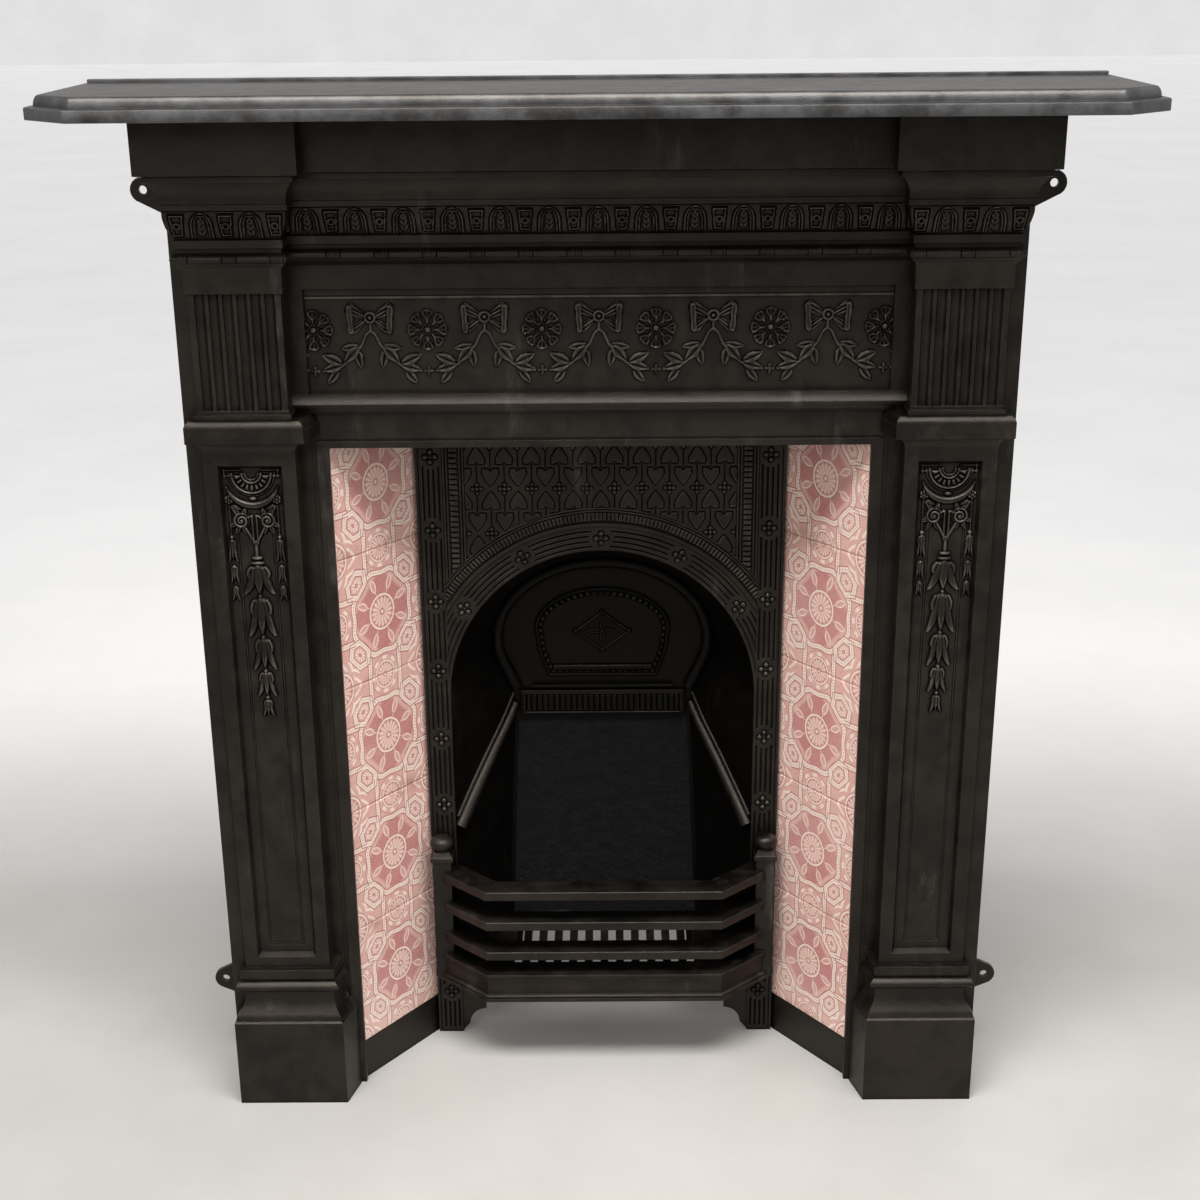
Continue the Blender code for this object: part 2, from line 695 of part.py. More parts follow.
def band_motifs():
    """Raised pads of the enriched band, on the slope of the ovolo."""
    bm = bmesh.new()
    height = BAND_TOP - BAND_BOTTOM
    for x, where, leafy in band_outlines():
        back = BLOCK_Y - 8 * MM + (CORNICE_SETBACK if where == "middle" else 0)
        half_top = (6 if leafy else 8.5) * MM
        half_low = (4 if leafy else 6.5) * MM
        rings = []
        for z, out, half in (
            (BAND_BOTTOM + 0.06 * height, 6 * MM, half_low),
            (BAND_TOP - 0.08 * height, 12 * MM, half_top),
        ):
            corners = ((-half, 0), (-half, -out), (half, -out), (half, 0))
            rings.append([bm.verts.new((x + a, back + b, z)) for a, b in corners])
        for lower, upper in zip(rings, rings[1:]):
            for i in range(4):
                j = (i + 1) % 4
                bm.faces.new((lower[i], lower[j], upper[j], upper[i]))
        bm.faces.new(rings[0])
        bm.faces.new(rings[-1])
    return mesh_from("add_band_motifs", bm)


def husk(x, z, size):
    """A bell flower hanging from x, z: a cap and three drooping petals."""
    shape = [(0.10, 0.0), (0.22, -0.14), (0.30, -0.5), (0.52, -1.0), (0.30, -0.88)]
    shape += [(0.16, -0.74), (0.0, -1.12)]
    right = [(x + a * size, z + b * size) for a, b in shape]
    left = [(x - a * size, z + b * size) for a, b in reversed(shape[:-1])]
    return right + left


def pilaster_ornament():
    """Half patera, swag, scrolls and a drop of bell flowers, on both shafts."""
    outlines = []
    axis = (SHAFT_OUTER_X + SHAFT_INNER_X) / 2
    top = PANEL_TOP - 4 * MM
    sizes = (33, 31, 27, 21, 15)
    for side in (1, -1):
        x = side * axis
        ring = arc((x, top), 27 * MM, 180, 360, 8)
        ring += arc((x, top), 11 * MM, 360, 180, 5)
        outlines.append(ring)
        z = top - 88 * MM
        outlines.append([(x - 2 * MM, z), (x + 2 * MM, z), (x + 1 * MM, top - 46 * MM),
                         (x - 1 * MM, top - 46 * MM)])
        for turn in (-1, 1):
            scroll = arc((x + turn * 12 * MM, top - 55 * MM), 8.5 * MM, 0, 315, 7)
            outlines.append(scroll)
            for drop in (28, 78, 108):
                spot = (x + turn * 28.5 * MM, top - drop * MM)
                outlines.append(leaf(*spot, 24 * MM, 9 * MM, 180))
        z -= 3 * MM
        for size in sizes:
            outlines.append(husk(x, z, size * MM))
            z -= (size * 1.12 + 3) * MM
    return outlines


def make_surround(iron):
    surround = add_piece("surround", surround_body(), iron)
    reach = WALL_Y + 2 * MM
    cuts = [
        box_mesh(
            "cut_opening",
            (-OPENING_HALF, FRAME_Y - 60 * MM, -BITE),
            (OPENING_HALF, reach, OPENING_TOP),
        ),
        middle_hollow(),
        pier_hollow(),
        panel_cutter(),
        flute_cutter(),
        relief(
            "cut_frieze_field",
            [
                [
                    (-FRIEZE_HALF, FRIEZE_BOTTOM),
                    (FRIEZE_HALF, FRIEZE_BOTTOM),
                    (FRIEZE_HALF, FRIEZE_TOP),
                    (-FRIEZE_HALF, FRIEZE_TOP),
                ]
            ],
            FRIEZE_Y - 12 * MM,
            FRIEZE_Y + FRIEZE_DEPTH,
        ),
        frame_groove(),
    ]
    for mesh in cuts:
        boolean(surround, add_helper(mesh.name, mesh))
    field = FRIEZE_Y + FRIEZE_DEPTH
    panel = SHAFT_Y + PANEL_DEPTH
    adds = [
        relief("add_pilasters", pilaster_ornament(), panel - RELIEF, panel + BITE),
        band_motifs(),
    ]
    for side, label in ((1, "right"), (-1, "left")):
        adds.append(lug("add_top_lug_" + label, TOP_LUG, side))
        adds.append(lug("add_low_lug_" + label, LOW_LUG, side))
    frieze = add_helper(
        "add_frieze", relief("add_frieze", frieze_outlines(), field - RELIEF, field + BITE)
    )
    limit = FRIEZE_HALF + BITE
    trim = box_mesh(
        "trim_frieze",
        (-limit, field - 2 * RELIEF, FRIEZE_BOTTOM),
        (limit, field + 2 * RELIEF, FRIEZE_TOP),
    )
    boolean(frieze, add_helper(trim.name, trim), "INTERSECT")
    boolean(surround, frieze, "UNION")
    for mesh in adds:
        boolean(surround, add_helper(mesh.name, mesh), "UNION")
    merge_flats(surround)
    return surround


def shelf_outline(inset):
    half = SHELF_HALF - inset
    front = SHELF_FRONT_Y + inset
    cant = SHELF_CANT - inset * (2 - math.sqrt(2))
    right = [(0, front), (half - cant, front), (half, front + cant), (half, WALL_Y), (0, WALL_Y)]
    return mirrored_outline(right)


def make_shelf(iron):
    levels = [
        (SHELF_BOTTOM, 0),
        (SHELF_BOTTOM + SHELF_BAND, 0),
        (SHELF_BOTTOM + SHELF_BAND + 1 * MM, SHELF_STEP),
        (SHELF_TOP - 4 * MM, SHELF_STEP + 1 * MM),
        (SHELF_TOP - 1.2 * MM, SHELF_STEP + 3 * MM),
        (SHELF_TOP, SHELF_STEP + 6 * MM),
    ]
    mesh = stack("mantelshelf", [(z, shelf_outline(inset)) for z, inset in levels])
    shelf = add_piece("mantelshelf", mesh, iron)
    upstand = box_mesh(
        "add_upstand",
        (-SHELF_HALF + SHELF_STEP + 8 * MM, WALL_Y - UPSTAND_WIDTH, SHELF_TOP - BITE),
        (SHELF_HALF - SHELF_STEP - 8 * MM, WALL_Y, SHELF_TOP + UPSTAND_HEIGHT),
    )
    boolean(shelf, add_helper(upstand.name, upstand), "UNION")
    inside = [(x, min(y, WALL_Y - SHELF_RIM)) for x, y in shelf_outline(SHELF_RIM)]
    hollow = upright(
        "cut_shelf_underside", inside, SHELF_BOTTOM - BITE, SURROUND_TOP + SEAM
    )
    boolean(shelf, add_helper(hollow.name, hollow))
    boolean(
        shelf,
        add_helper(
            "cut_shelf_seat",
            box_mesh(
                "cut_shelf_seat",
                (-BLOCK_OUTER_X - FASCIA_STEP - 1 * MM, WALL_Y - SHELF_RIM - BITE, SHELF_BOTTOM - 2 * BITE),
                (BLOCK_OUTER_X + FASCIA_STEP + 1 * MM, WALL_Y + BITE, SURROUND_TOP + SEAM),
            ),
        ),
    )
    return shelf


def splay():
    """Plan of one right-hand tile: its outer front corner, its direction inwards and its normal."""
    corner = Vector((TILE_CORNER_X, TILE_CORNER_Y))
    target = Vector((PLATE_HALF, PLATE_THICK))
    aim = target - corner
    slack = math.asin(SEAM / aim.length)
    along = aim.normalized()
    along.rotate(Matrix.Rotation(-slack, 2))
    normal = Vector((along.y, -along.x))
    return corner, along, normal


def splay_points(front, back, start, end):
    """Plan corners of a strip along the splay, from start to end, front to back of the tile face."""
    corner, along, normal = splay()
    return [
        tuple(corner + along * start + normal * front),
        tuple(corner + along * end + normal * front),
        tuple(corner + along * end + normal * back),
        tuple(corner + along * start + normal * back),
    ]


def kerb_plan():
    """The tiles' own footprint, carried on until it runs into the plate and the tray."""
    plan = splay_points(0, TILE_THICK + 2 * SEAM, 0, TILE + 2 * SEAM)
    normal = splay()[2]
    plan[1] = tuple(Vector(plan[1]) - normal * 2 * SEAM)
    return plan


def make_tiles(glaze):
    tiles = []
    for label, side in (("left", -1), ("right", 1)):
        plan = [(side * x, y) for x, y in splay_points(0, TILE_THICK, 0, TILE)]
        for i in range(TILES_A_SIDE):
            bottom = KERB_HEIGHT + SEAM + i * (TILE + TILE_JOINT)
            mesh = upright("tile", plan, bottom, bottom + TILE)
            tile = add_piece(f"tile_{label}_{i + 1}", mesh, glaze)
            tiles.append(tile)
    return tiles


def insert_section():
    """Plan of the arch plate with the two trays that back the tiles."""
    gap = TILE_THICK + SEAM
    corner, along, normal = splay()
    end = TILE + SEAM
    web = TRAY_THICK
    right = [
        (0, 0),
        (PLATE_HALF, 0),
        (PLATE_HALF, PLATE_THICK),
        tuple(corner + along * end + normal * 0),
        tuple(corner + along * end + normal * gap),
        tuple(corner + normal * gap),
        tuple(corner + normal * (gap + web)),
        tuple(corner + along * (end + web) + normal * (gap + web)),
        (PLATE_HALF - 14 * MM, PLATE_THICK),
        (0, PLATE_THICK),
    ]
    return mirrored_outline(right)


def opening_outline():
    """The plate's opening: a round head on legs that end in hollow-curved corbels."""
    start = ARCH_RADIUS - BRACKET_REACH
    right = [(ARCH_RADIUS, -BITE), (ARCH_RADIUS, 2 * MM)]
    right += arc((start, BRACKET_BOTTOM), BRACKET_HOLLOW, 0, 90, 5)
    right += [(start, BRACKET_TOP), (ARCH_RADIUS, BRACKET_TOP)]
    head = arc((0, ARCH_SPRING), ARCH_RADIUS, 0, 180, 23)
    return right + head + [(-x, z) for x, z in reversed(right)]


def strip_knots():
    """Heights of the quatrefoils on one side strip, from the foot up."""
    upper = [QUATREFOIL_TOP - i * QUATREFOIL_PITCH for i in range(QUATREFOILS)]
    return [KERB_HEIGHT + 9 * MM] + upper[::-1]


def arch_knots():
    """Bearings of the quatrefoils round the arch, in degrees from the right-hand springing."""
    return (34.5, 62.2, 90, 117.8, 145.5)


def reed_cutter():
    """Fine grooves up both strips and round the arch, stopped at each quatrefoil."""
    outlines = []
    clear = QUATREFOIL_RADIUS * 0.86
    turn = math.degrees(clear / BAND_RADIUS)
    stops = [30 * MM - clear] + strip_knots()
    for i in range(REEDS):
        shift = (i - (REEDS - 1) / 2) * REED_PITCH
        half = REED_WIDTH / 2
        for low, high in zip(stops, stops[1:]):
            for side in (1, -1):
                x = side * (STRIP_X + shift)
                outlines.append(
                    [
                        (x - half, low + clear),
                        (x + half, low + clear),
                        (x + half, high - clear),
                        (x - half, high - clear),
                    ]
                )
        for low, high in zip(arch_knots(), arch_knots()[1:]):
            ends = (low + turn, high - turn)
            outer = arc((0, ARCH_SPRING), BAND_RADIUS + shift + half, *ends, 3)
            inner = arc((0, ARCH_SPRING), BAND_RADIUS + shift - half, *ends[::-1], 3)
            outlines.append(outer + inner)
    return relief("cut_reeds", outlines, -BITE, REED_DEPTH)


def quatrefoil(x, z):
    return petals(x, z, 4, QUATREFOIL_RADIUS, 0.42)


def plate_ornament():
    """Quatrefoils on the strips and the arch."""
    outlines = []
    for side in (1, -1):
        for z in strip_knots():
            outlines.append(quatrefoil(side * STRIP_X, z))
    for degrees in arch_knots():
        angle = math.radians(degrees)
        x = BAND_RADIUS * math.cos(angle)
        outlines.append(quatrefoil(x, ARCH_SPRING + BAND_RADIUS * math.sin(angle)))
    return outlines


def rim_outline():
    """A band that follows the arch and runs up each side to the lintel."""
    side = RIM_SIDE
    foot_angle = math.degrees(math.acos(side / RIM_RADIUS))
    outer_angle = math.degrees(math.acos((side - RIM_WIDTH) / (RIM_RADIUS + RIM_WIDTH)))
    top = PLATE_TOP - 2 * MM
    outer = [(side, top)]
    outer += arc((0, ARCH_SPRING), RIM_RADIUS, foot_angle, 180 - foot_angle, 16)
    outer += [(-side, top), (-side + RIM_WIDTH, top)]
    inner = arc(
        (0, ARCH_SPRING), RIM_RADIUS + RIM_WIDTH, 180 - outer_angle, outer_angle, 16
    )
    return outer + inner + [(side - RIM_WIDTH, top)]


def spade(x, z, size, up):
    """A spade-shaped leaf, point up or point down."""
    shape = [(-0.42, 0.42), (-0.5, 0.0), (0.0, -0.62), (0.5, 0.0), (0.42, 0.42)]
    flip = -1 if up else 1
    return [(x + a * size, z + flip * b * size) for a, b in shape]


def lattice_outlines():
    """The spandrel's half-drop rows of spade leaves."""
    outlines = []
    rim = RIM_RADIUS + RIM_WIDTH + 12 * MM
    edge = RIM_SIDE - 2 * RIM_WIDTH
    crown = ARCH_SPRING + RIM_RADIUS
    across = math.ceil(edge / LEAF_PITCH)
    for row, rise in enumerate((107, 77, 51, 19, -9, -35)):
        shift = LEAF_PITCH / 2 if row in (1, 2, 5) else 0
        for i in range(-across, across + 1):
            x = i * LEAF_PITCH + shift
            z = crown + rise * MM
            if abs(x) > edge or math.hypot(x, z - ARCH_SPRING) < rim:
                continue
            outlines.append(spade(x, z, LEAF_SIZE, up=row % 2 == 0))
    return outlines


def make_insert(iron):
    mesh = upright("insert_front", insert_section(), 0, PLATE_TOP)
    insert = add_piece("insert_front", mesh, iron)
    for label, side in (("left", -1), ("right", 1)):
        plan = [(side * x, y) for x, y in kerb_plan()]
        kerb = upright("add_kerb_" + label, plan, 0, KERB_HEIGHT)
        boolean(insert, add_helper(kerb.name, kerb), "UNION")
    opening = relief("cut_arch", [opening_outline()], -BITE, PLATE_THICK + BITE)
    boolean(insert, add_helper(opening.name, opening))
    reeds = reed_cutter()
    boolean(insert, add_helper(reeds.name, reeds))
    raised = plate_ornament() + [rim_outline()] + lattice_outlines()
    ornament = relief("add_plate_relief", raised, -1.6 * MM, 2 * BITE)
    boolean(insert, add_helper(ornament.name, ornament), "UNION")
    merge_flats(insert)
    return insert


def hood_ring(share, grow=0.0):
    """Half outline of the firebox at a share of its depth: (x, z) from the foot to the crown."""
    heights = [HOOD_BOTTOM + part * (BRICK_TOP - HOOD_BOTTOM) for part in (0, 0.34, 0.68, 1)]
    front = [(ARCH_RADIUS + 1 * MM, z) for z in heights + [WAIST_Z]]
    cheeks = (BRICK_FOOT_HALF + 2 * MM, BRICK_FOOT_HALF - 2 * MM, BRICK_FOOT_HALF - 7 * MM)
    back = list(zip(cheeks + (BRICK_TOP_HALF + 4 * MM, WAIST_HALF), heights + [WAIST_Z]))
    steps = 9
    for i in range(steps + 1):
        angle = math.radians(90 * i / steps)
        radius = ARCH_RADIUS + 1 * MM
        front.append((radius * math.cos(angle), ARCH_SPRING + radius * math.sin(angle)))
        start = math.radians(-12)
        turn = start + (math.radians(90) - start) * i / steps
        back.append(
            (HORSESHOE_HALF * math.cos(turn), HORSESHOE_Z + HORSESHOE_RISE * math.sin(turn))
        )
    ring = []
    for (fx, fz), (bx, bz) in zip(front, back):
        x = fx + (bx - fx) * share
        z = fz + (bz - fz) * share
        ring.append((x, z))
    if grow:
        ring = [(x + grow if x > 1e-6 else x, z) for x, z in ring]
        crown = ring[-1][1]
        ring = [(x, z + grow * max(0, (z - WAIST_Z) / (crown - WAIST_Z))) for x, z in ring]
    return ring


def hood_solid(name, start_y, end_y, grow, drop):
    """A loft from the arch at the front to the horseshoe at the back."""
    bm = bmesh.new()
    loops = []
    for y in (start_y, end_y):
        share = (y - PLATE_THICK) / (HOOD_DEPTH - PLATE_THICK)
        right = hood_ring(min(max(share, 0), 1), grow)
        foot_x, foot_z = right[0]
        right = [(foot_x, foot_z - drop)] + right[1:]
        outline = right + [(-x, z) for x, z in reversed(right) if x > 1e-6]
        loops.append([bm.verts.new((x, y, z)) for x, z in outline])
    count = len(loops[0])
    for i in range(count):
        j = (i + 1) % count
        bm.faces.new((loops[0][i], loops[0][j], loops[1][j], loops[1][i]))
    bm.faces.new(loops[0])
    bm.faces.new(loops[1])
    return mesh_from(name, bm)


def flap_outline(shrink=0.0):
    half = FLAP_HALF - shrink
    foot = FLAP_FOOT_HALF - shrink
    bottom = FLAP_BOTTOM + shrink
    head = []
    steps = 12
    for i in range(steps + 1):
        angle = math.pi * i / steps
        head.append((half * math.cos(angle), FLAP_Z + (FLAP_RISE - shrink) * math.sin(angle)))
    waist = (half - 4 * MM, FLAP_Z - 30 * MM)
    return [(foot, bottom), waist] + head + [(-waist[0], waist[1]), (-foot, bottom)]


def make_fireback(iron):
    shell_start = PLATE_THICK + SEAM
    outer = hood_solid("fireback", shell_start, HOOD_DEPTH + BACK_THICK, IRON, 0)
    fireback = add_piece("fireback", outer, iron)
    rear = box_mesh(
        "add_brick_case",
        (-BRICK_FOOT_HALF - IRON, HOOD_DEPTH - 10 * MM, HOOD_BOTTOM),
        (BRICK_FOOT_HALF + IRON, FIREBACK_REAR, BRICK_TOP + 11 * MM),
    )
    boolean(fireback, add_helper(rear.name, rear), "UNION")
    floor = HOOD_BOTTOM + IRON
    inner = hood_solid("cut_firebox", shell_start - BITE, HOOD_DEPTH, 0, -IRON)
    boolean(fireback, add_helper(inner.name, inner))
    ash = box_mesh(
        "cut_ash_hole",
        (-BRICK_TOP_HALF, 0, HOOD_BOTTOM - BITE),
        (BRICK_TOP_HALF, HOOD_DEPTH - 20 * MM, floor + BITE),
    )
    boolean(fireback, add_helper(ash.name, ash))
    seat = brick_mesh("cut_brick_seat", SEAM)
    boolean(fireback, add_helper(seat.name, seat))
    flap_seat = relief(
        "cut_flap_seat",
        [flap_outline(-SEAM)],
        HOOD_DEPTH - BITE,
        HOOD_DEPTH + FLAP_SEAT,
    )
    boolean(fireback, add_helper(flap_seat.name, flap_seat))
    flue = relief(
        "cut_flue",
        [flap_outline(FLUE_LAP)],
        HOOD_DEPTH + FLAP_SEAT - BITE,
        HOOD_DEPTH + BACK_THICK + BITE,
    )
    boolean(fireback, add_helper(flue.name, flue))
    for mesh in fireback_trim():
        boolean(fireback, add_helper(mesh.name, mesh), "UNION")
    merge_flats(fireback)
    return fireback


def fireback_trim():
    """The fluted band over the brick, the ledge above it, and the sloping cheek mouldings."""
    half = BRICK_TOP_HALF - 3 * MM
    low = BRICK_TOP + 2 * MM
    band = relief(
        "add_band_frame",
        [[(-half, low), (half, low), (half, WAIST_Z), (-half, WAIST_Z)]],
        HOOD_DEPTH - 5 * MM,
        HOOD_DEPTH + BITE,
    )
    ledge = box_mesh(
        "add_ledge",
        (-FLAP_HALF - 4 * MM, HOOD_DEPTH - 7 * MM, WAIST_Z + 3 * MM),
        (FLAP_HALF + 4 * MM, HOOD_DEPTH + BITE, WAIST_Z + 7 * MM),
    )
    return [band, ledge]


def brick_mesh(name, clearance):
    """A tapering slab; the clearance makes the seat that holds it."""
    foot = HOOD_BOTTOM + IRON + SEAM - clearance
    top = BRICK_TOP + clearance
    front = HOOD_DEPTH + SEAM if clearance == 0 else HOOD_DEPTH - 2 * BITE
    back = HOOD_DEPTH + BRICK_THICK - SEAM + clearance
    low = BRICK_FOOT_HALF + clearance - 3 * MM
    high = BRICK_TOP_HALF + clearance
    outline = [(-low, foot), (low, foot), (high, top), (-high, top)]
    return relief(name, [outline], front, back)


def make_flap(iron):
    front = HOOD_DEPTH + FLAP_SEAT - SEAM - FLAP_THICK
    flap = add_piece(
        "damper_flap",
        relief("damper_flap", [flap_outline()], front, front + FLAP_THICK),
        iron,
    )
    strip = [flap_outline(4.5 * MM), flap_outline(9.5 * MM)]
    diamond = [(0, DIAMOND_RISE), (DIAMOND_HALF, 0), (0, -DIAMOND_RISE), (-DIAMOND_HALF, 0)]
    inner = [(x * 0.86, z * 0.84) for x, z in diamond]
    middle = FLAP_Z - 3 * MM
    frame = [[(x, z + middle) for x, z in ring] for ring in (diamond, inner)]
    flower = petals(0, middle, 4, 15 * MM, 0.3)
    half = FLAP_FOOT_HALF - 6 * MM
    low = FLAP_BOTTOM + 9 * MM
    high = FLAP_BOTTOM + 14.5 * MM
    bar = [(-half, low), (half, low), (half, high), (-half, high)]
    adds = [
        relief("add_bead_strip", strip, front - 2 * MM, front + BITE),
        relief("add_diamond", frame + [flower], front - 1.6 * MM, front + BITE),
        relief("add_flap_bar", [bar], front - 5 * MM, front + BITE),
    ]
    for mesh in adds:
        boolean(flap, add_helper(mesh.name, mesh), "UNION")
    return flap


def bar_plan(grow=0.0):
    """Plan of one canted bar: front edge out, back edge in."""
    front = BAR_FRONT_Y - grow
    corner = BAR_CORNER_X + grow * math.tan(math.pi / 8)
    end_y = front + (BAR_END_X - corner)
    back = BAR_FRONT_Y + BAR_DEPTH
    back_corner = BAR_CORNER_X - BAR_DEPTH * math.tan(math.pi / 8)
    near = -SEAM
    right = [
        (0, front),
        (corner, front),
        (BAR_END_X, end_y),
        (BAR_END_X, near),
        (back_corner + (near - back), near),
        (back_corner, back),
        (0, back),
    ]
    return mirrored_outline(right)


def knob(side):
    """A bun on a collar, turned about its post's axis. The profile runs from top to bottom."""
    base = TOP_BAR + 15 * MM
    middle = base + 12 * MM + KNOB_HEIGHT / 2
    profile = [(0, middle + KNOB_HEIGHT / 2)]
    for degrees in (50, 0, -50):
        angle = math.radians(degrees)
        profile.append(
            (KNOB_RADIUS * math.cos(angle), middle + KNOB_HEIGHT / 2 * math.sin(angle))
        )
    profile += [(POST_WIDTH * 0.42, base + 12 * MM), (POST_WIDTH * 0.66, base + 6 * MM)]
    profile += [(POST_WIDTH * 0.66, base), (0, base)]
    bm = bmesh.new()
    points = [bm.verts.new((x, 0, z)) for x, z in profile]
    for upper, lower in zip(points, points[1:]):
        bm.edges.new((upper, lower))
    mesh = bpy.data.meshes.new("add_knob")
    bm.to_mesh(mesh)
    bm.free()
    turned = add_helper("add_knob", mesh)
    turned.location = (side * POST_X, KNOB_Y, 0)
    screw = turned.modifiers.new("turn", "SCREW")
    screw.steps = KNOB_SIDES
    screw.render_steps = KNOB_SIDES
    screw.use_merge_vertices = True
    screw.merge_threshold = 1e-5
    screw.use_normal_calculate = True
    return turned


def make_bars(iron):
    low = 4 * MM
    rail_levels = [
        (RAIL_BOTTOM, bar_plan(low)),
        (RAIL_BOTTOM + 6 * MM, bar_plan(low)),
        (RAIL_BOTTOM + 9 * MM, bar_plan(0)),
        (RAIL_TOP - 9 * MM, bar_plan(0)),
        (RAIL_TOP - 7 * MM, bar_plan(2.5 * MM)),
        (RAIL_TOP, bar_plan(2.5 * MM)),
    ]
    bars = add_piece("front_bars", stack("front_bars", rail_levels), iron)
    for i in range(BARS):
        top = TOP_BAR - i * BAR_PITCH
        mesh = upright(f"add_bar_{i + 1}", bar_plan(), top - BAR_THICK, top)
        boolean(bars, add_helper(mesh.name, mesh), "UNION")
    posts = box_mesh(
        "add_posts",
        (POST_X - POST_WIDTH / 2, -SEAM - POST_DEPTH, RAIL_BOTTOM + 3 * MM),
        (POST_X + POST_WIDTH / 2, -SEAM - BITE, TOP_BAR + 16 * MM),
        mirrored=True,
    )
    boolean(bars, add_helper(posts.name, posts), "UNION")
    for side in (1, -1):
        boolean(bars, knob(side), "UNION")
    merge_flats(bars)
    return bars


def make_grate(iron):
    bottom = HOOD_BOTTOM + IRON + SEAM
    front = BAR_FRONT_Y + BAR_DEPTH + 2 * SEAM
    back = HOOD_DEPTH - SEAM
    half_front = BAR_CORNER_X - BAR_DEPTH * math.tan(math.pi / 8) - 2 * MM
    plan = mirrored_outline(
        [(0, front), (half_front, front), (half_front + 14 * MM, front + 16 * MM),
         (half_front + 14 * MM, 30 * MM), (BRICK_FOOT_HALF - 4 * MM, back), (0, back)]
    )
    grate = add_piece("bottom_grate", upright("bottom_grate", plan, bottom, bottom + GRATE_THICK), iron)
    bm = bmesh.new()
    for i in range(GRATE_SLOTS):
        x = (i - (GRATE_SLOTS - 1) / 2) * GRATE_PITCH
        box_into(
            bm,
            (x - GRATE_SLOT / 2, front + 14 * MM, bottom - BITE),
            (x + GRATE_SLOT / 2, back - 16 * MM, bottom + GRATE_THICK + BITE),
        )
    slots = mesh_from("cut_slots", bm)
    boolean(grate, add_helper(slots.name, slots))
    merge_flats(grate)
    return grate


def make_brick(material):
    return add_piece("firebrick", brick_mesh("firebrick", 0), material)


clear_scene()
PIECES = make_collection("fireplace_surround")
HELPERS = make_collection("cutters", helper=True)
ORIGIN = bpy.data.objects.new("fireplace_origin", None)
PIECES.objects.link(ORIGIN)
ORIGIN.location = (0, -MID_DEPTH, 0)
IRON_BLACK = make_material("black_iron")
make_shelf(make_material("polished_iron"))
make_surround(IRON_BLACK)
make_tiles(make_material("rose_tile"))
make_insert(IRON_BLACK)
make_fireback(IRON_BLACK)
make_brick(make_material("firebrick"))
make_flap(IRON_BLACK)
make_bars(IRON_BLACK)
make_grate(IRON_BLACK)
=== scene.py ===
"""Cast-iron combination fireplace: the finished look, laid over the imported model."""

import math

import bmesh
import bpy
import numpy as np
from mathutils import Matrix, Vector


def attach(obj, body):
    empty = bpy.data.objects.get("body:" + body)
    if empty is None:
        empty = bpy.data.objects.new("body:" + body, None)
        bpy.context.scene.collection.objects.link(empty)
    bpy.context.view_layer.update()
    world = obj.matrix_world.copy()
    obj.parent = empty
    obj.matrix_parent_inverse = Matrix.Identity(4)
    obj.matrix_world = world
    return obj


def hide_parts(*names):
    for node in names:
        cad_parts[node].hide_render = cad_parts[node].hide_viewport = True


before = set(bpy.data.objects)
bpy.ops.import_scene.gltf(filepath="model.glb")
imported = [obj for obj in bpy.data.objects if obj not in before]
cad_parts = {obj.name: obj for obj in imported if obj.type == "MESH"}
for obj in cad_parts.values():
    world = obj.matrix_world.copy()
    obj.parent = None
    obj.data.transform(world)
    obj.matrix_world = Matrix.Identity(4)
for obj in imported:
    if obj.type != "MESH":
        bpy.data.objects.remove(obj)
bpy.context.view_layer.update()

MM = 0.001
SEAM = 0.3 * MM
BITE = 1.0 * MM

# Where the casting meets the wall, and how thick its walls are
WALL_Y = -45 * MM
IRON = 8 * MM

# Tiles: five six-inch tiles a side, splayed from the surround back to the arch plate
TILE = 152.4 * MM
TILE_THICK = 10 * MM
TILE_JOINT = 0.4 * MM
TILES_A_SIDE = 5
TILE_LAP = 3.5 * MM
TILE_TUCK = 6.5 * MM
KERB_HEIGHT = 50 * MM
TRAY_THICK = 6 * MM
PLATE_THICK = 8 * MM
PLATE_TOP = KERB_HEIGHT + TILES_A_SIDE * (TILE + TILE_JOINT) + 2 * MM

# Inner strip of the surround, which frames the tiles and laps over them
OPENING_HALF = 293 * MM
OPENING_TOP = PLATE_TOP - 23 * MM
FRAME_Y = -120 * MM
FRAME_WIDTH = 19 * MM
TILE_CORNER_X = OPENING_HALF + TILE_LAP
TILE_CORNER_Y = FRAME_Y + IRON + SEAM

# The arch plate is as wide as the splayed tiles leave room for
SPLAY_SPAN = TILE - TILE_TUCK
SPLAY_DEPTH = PLATE_THICK - TILE_CORNER_Y
PLATE_HALF = TILE_CORNER_X - math.sqrt(SPLAY_SPAN**2 - SPLAY_DEPTH**2)

# Pilaster: plinth, shaft, capital block and fluted block
SHAFT_INNER_X = OPENING_HALF + 31.5 * MM
SHAFT_WIDTH = 99 * MM
SHAFT_OUTER_X = SHAFT_INNER_X + SHAFT_WIDTH
PLINTH_STEP = 16.5 * MM
PLINTH_OUTER_X = SHAFT_OUTER_X + PLINTH_STEP
PLINTH_INNER_X = SHAFT_INNER_X - 13.5 * MM
PLINTH_HEIGHT = 113 * MM
SHAFT_Y = -152 * MM
PLINTH_Y = SHAFT_Y - 15 * MM
STRIP_Y = SHAFT_Y + 10 * MM
PIER_OUTER_X = SHAFT_OUTER_X + 18.5 * MM
CANT = 12 * MM
BASE_TOP = PLINTH_HEIGHT + 64 * MM
SHAFT_TOP = OPENING_TOP + 13 * MM
CAP_STEP = 13.5 * MM
BLOCK_BOTTOM = SHAFT_TOP + 37 * MM
BLOCK_TOP = BLOCK_BOTTOM + 121 * MM
BLOCK_Y = SHAFT_Y - 8 * MM
BLOCK_OUTER_X = SHAFT_OUTER_X - 0.5 * MM
BLOCK_INNER_X = SHAFT_INNER_X + 2.5 * MM
PANEL_MARGIN = 15 * MM
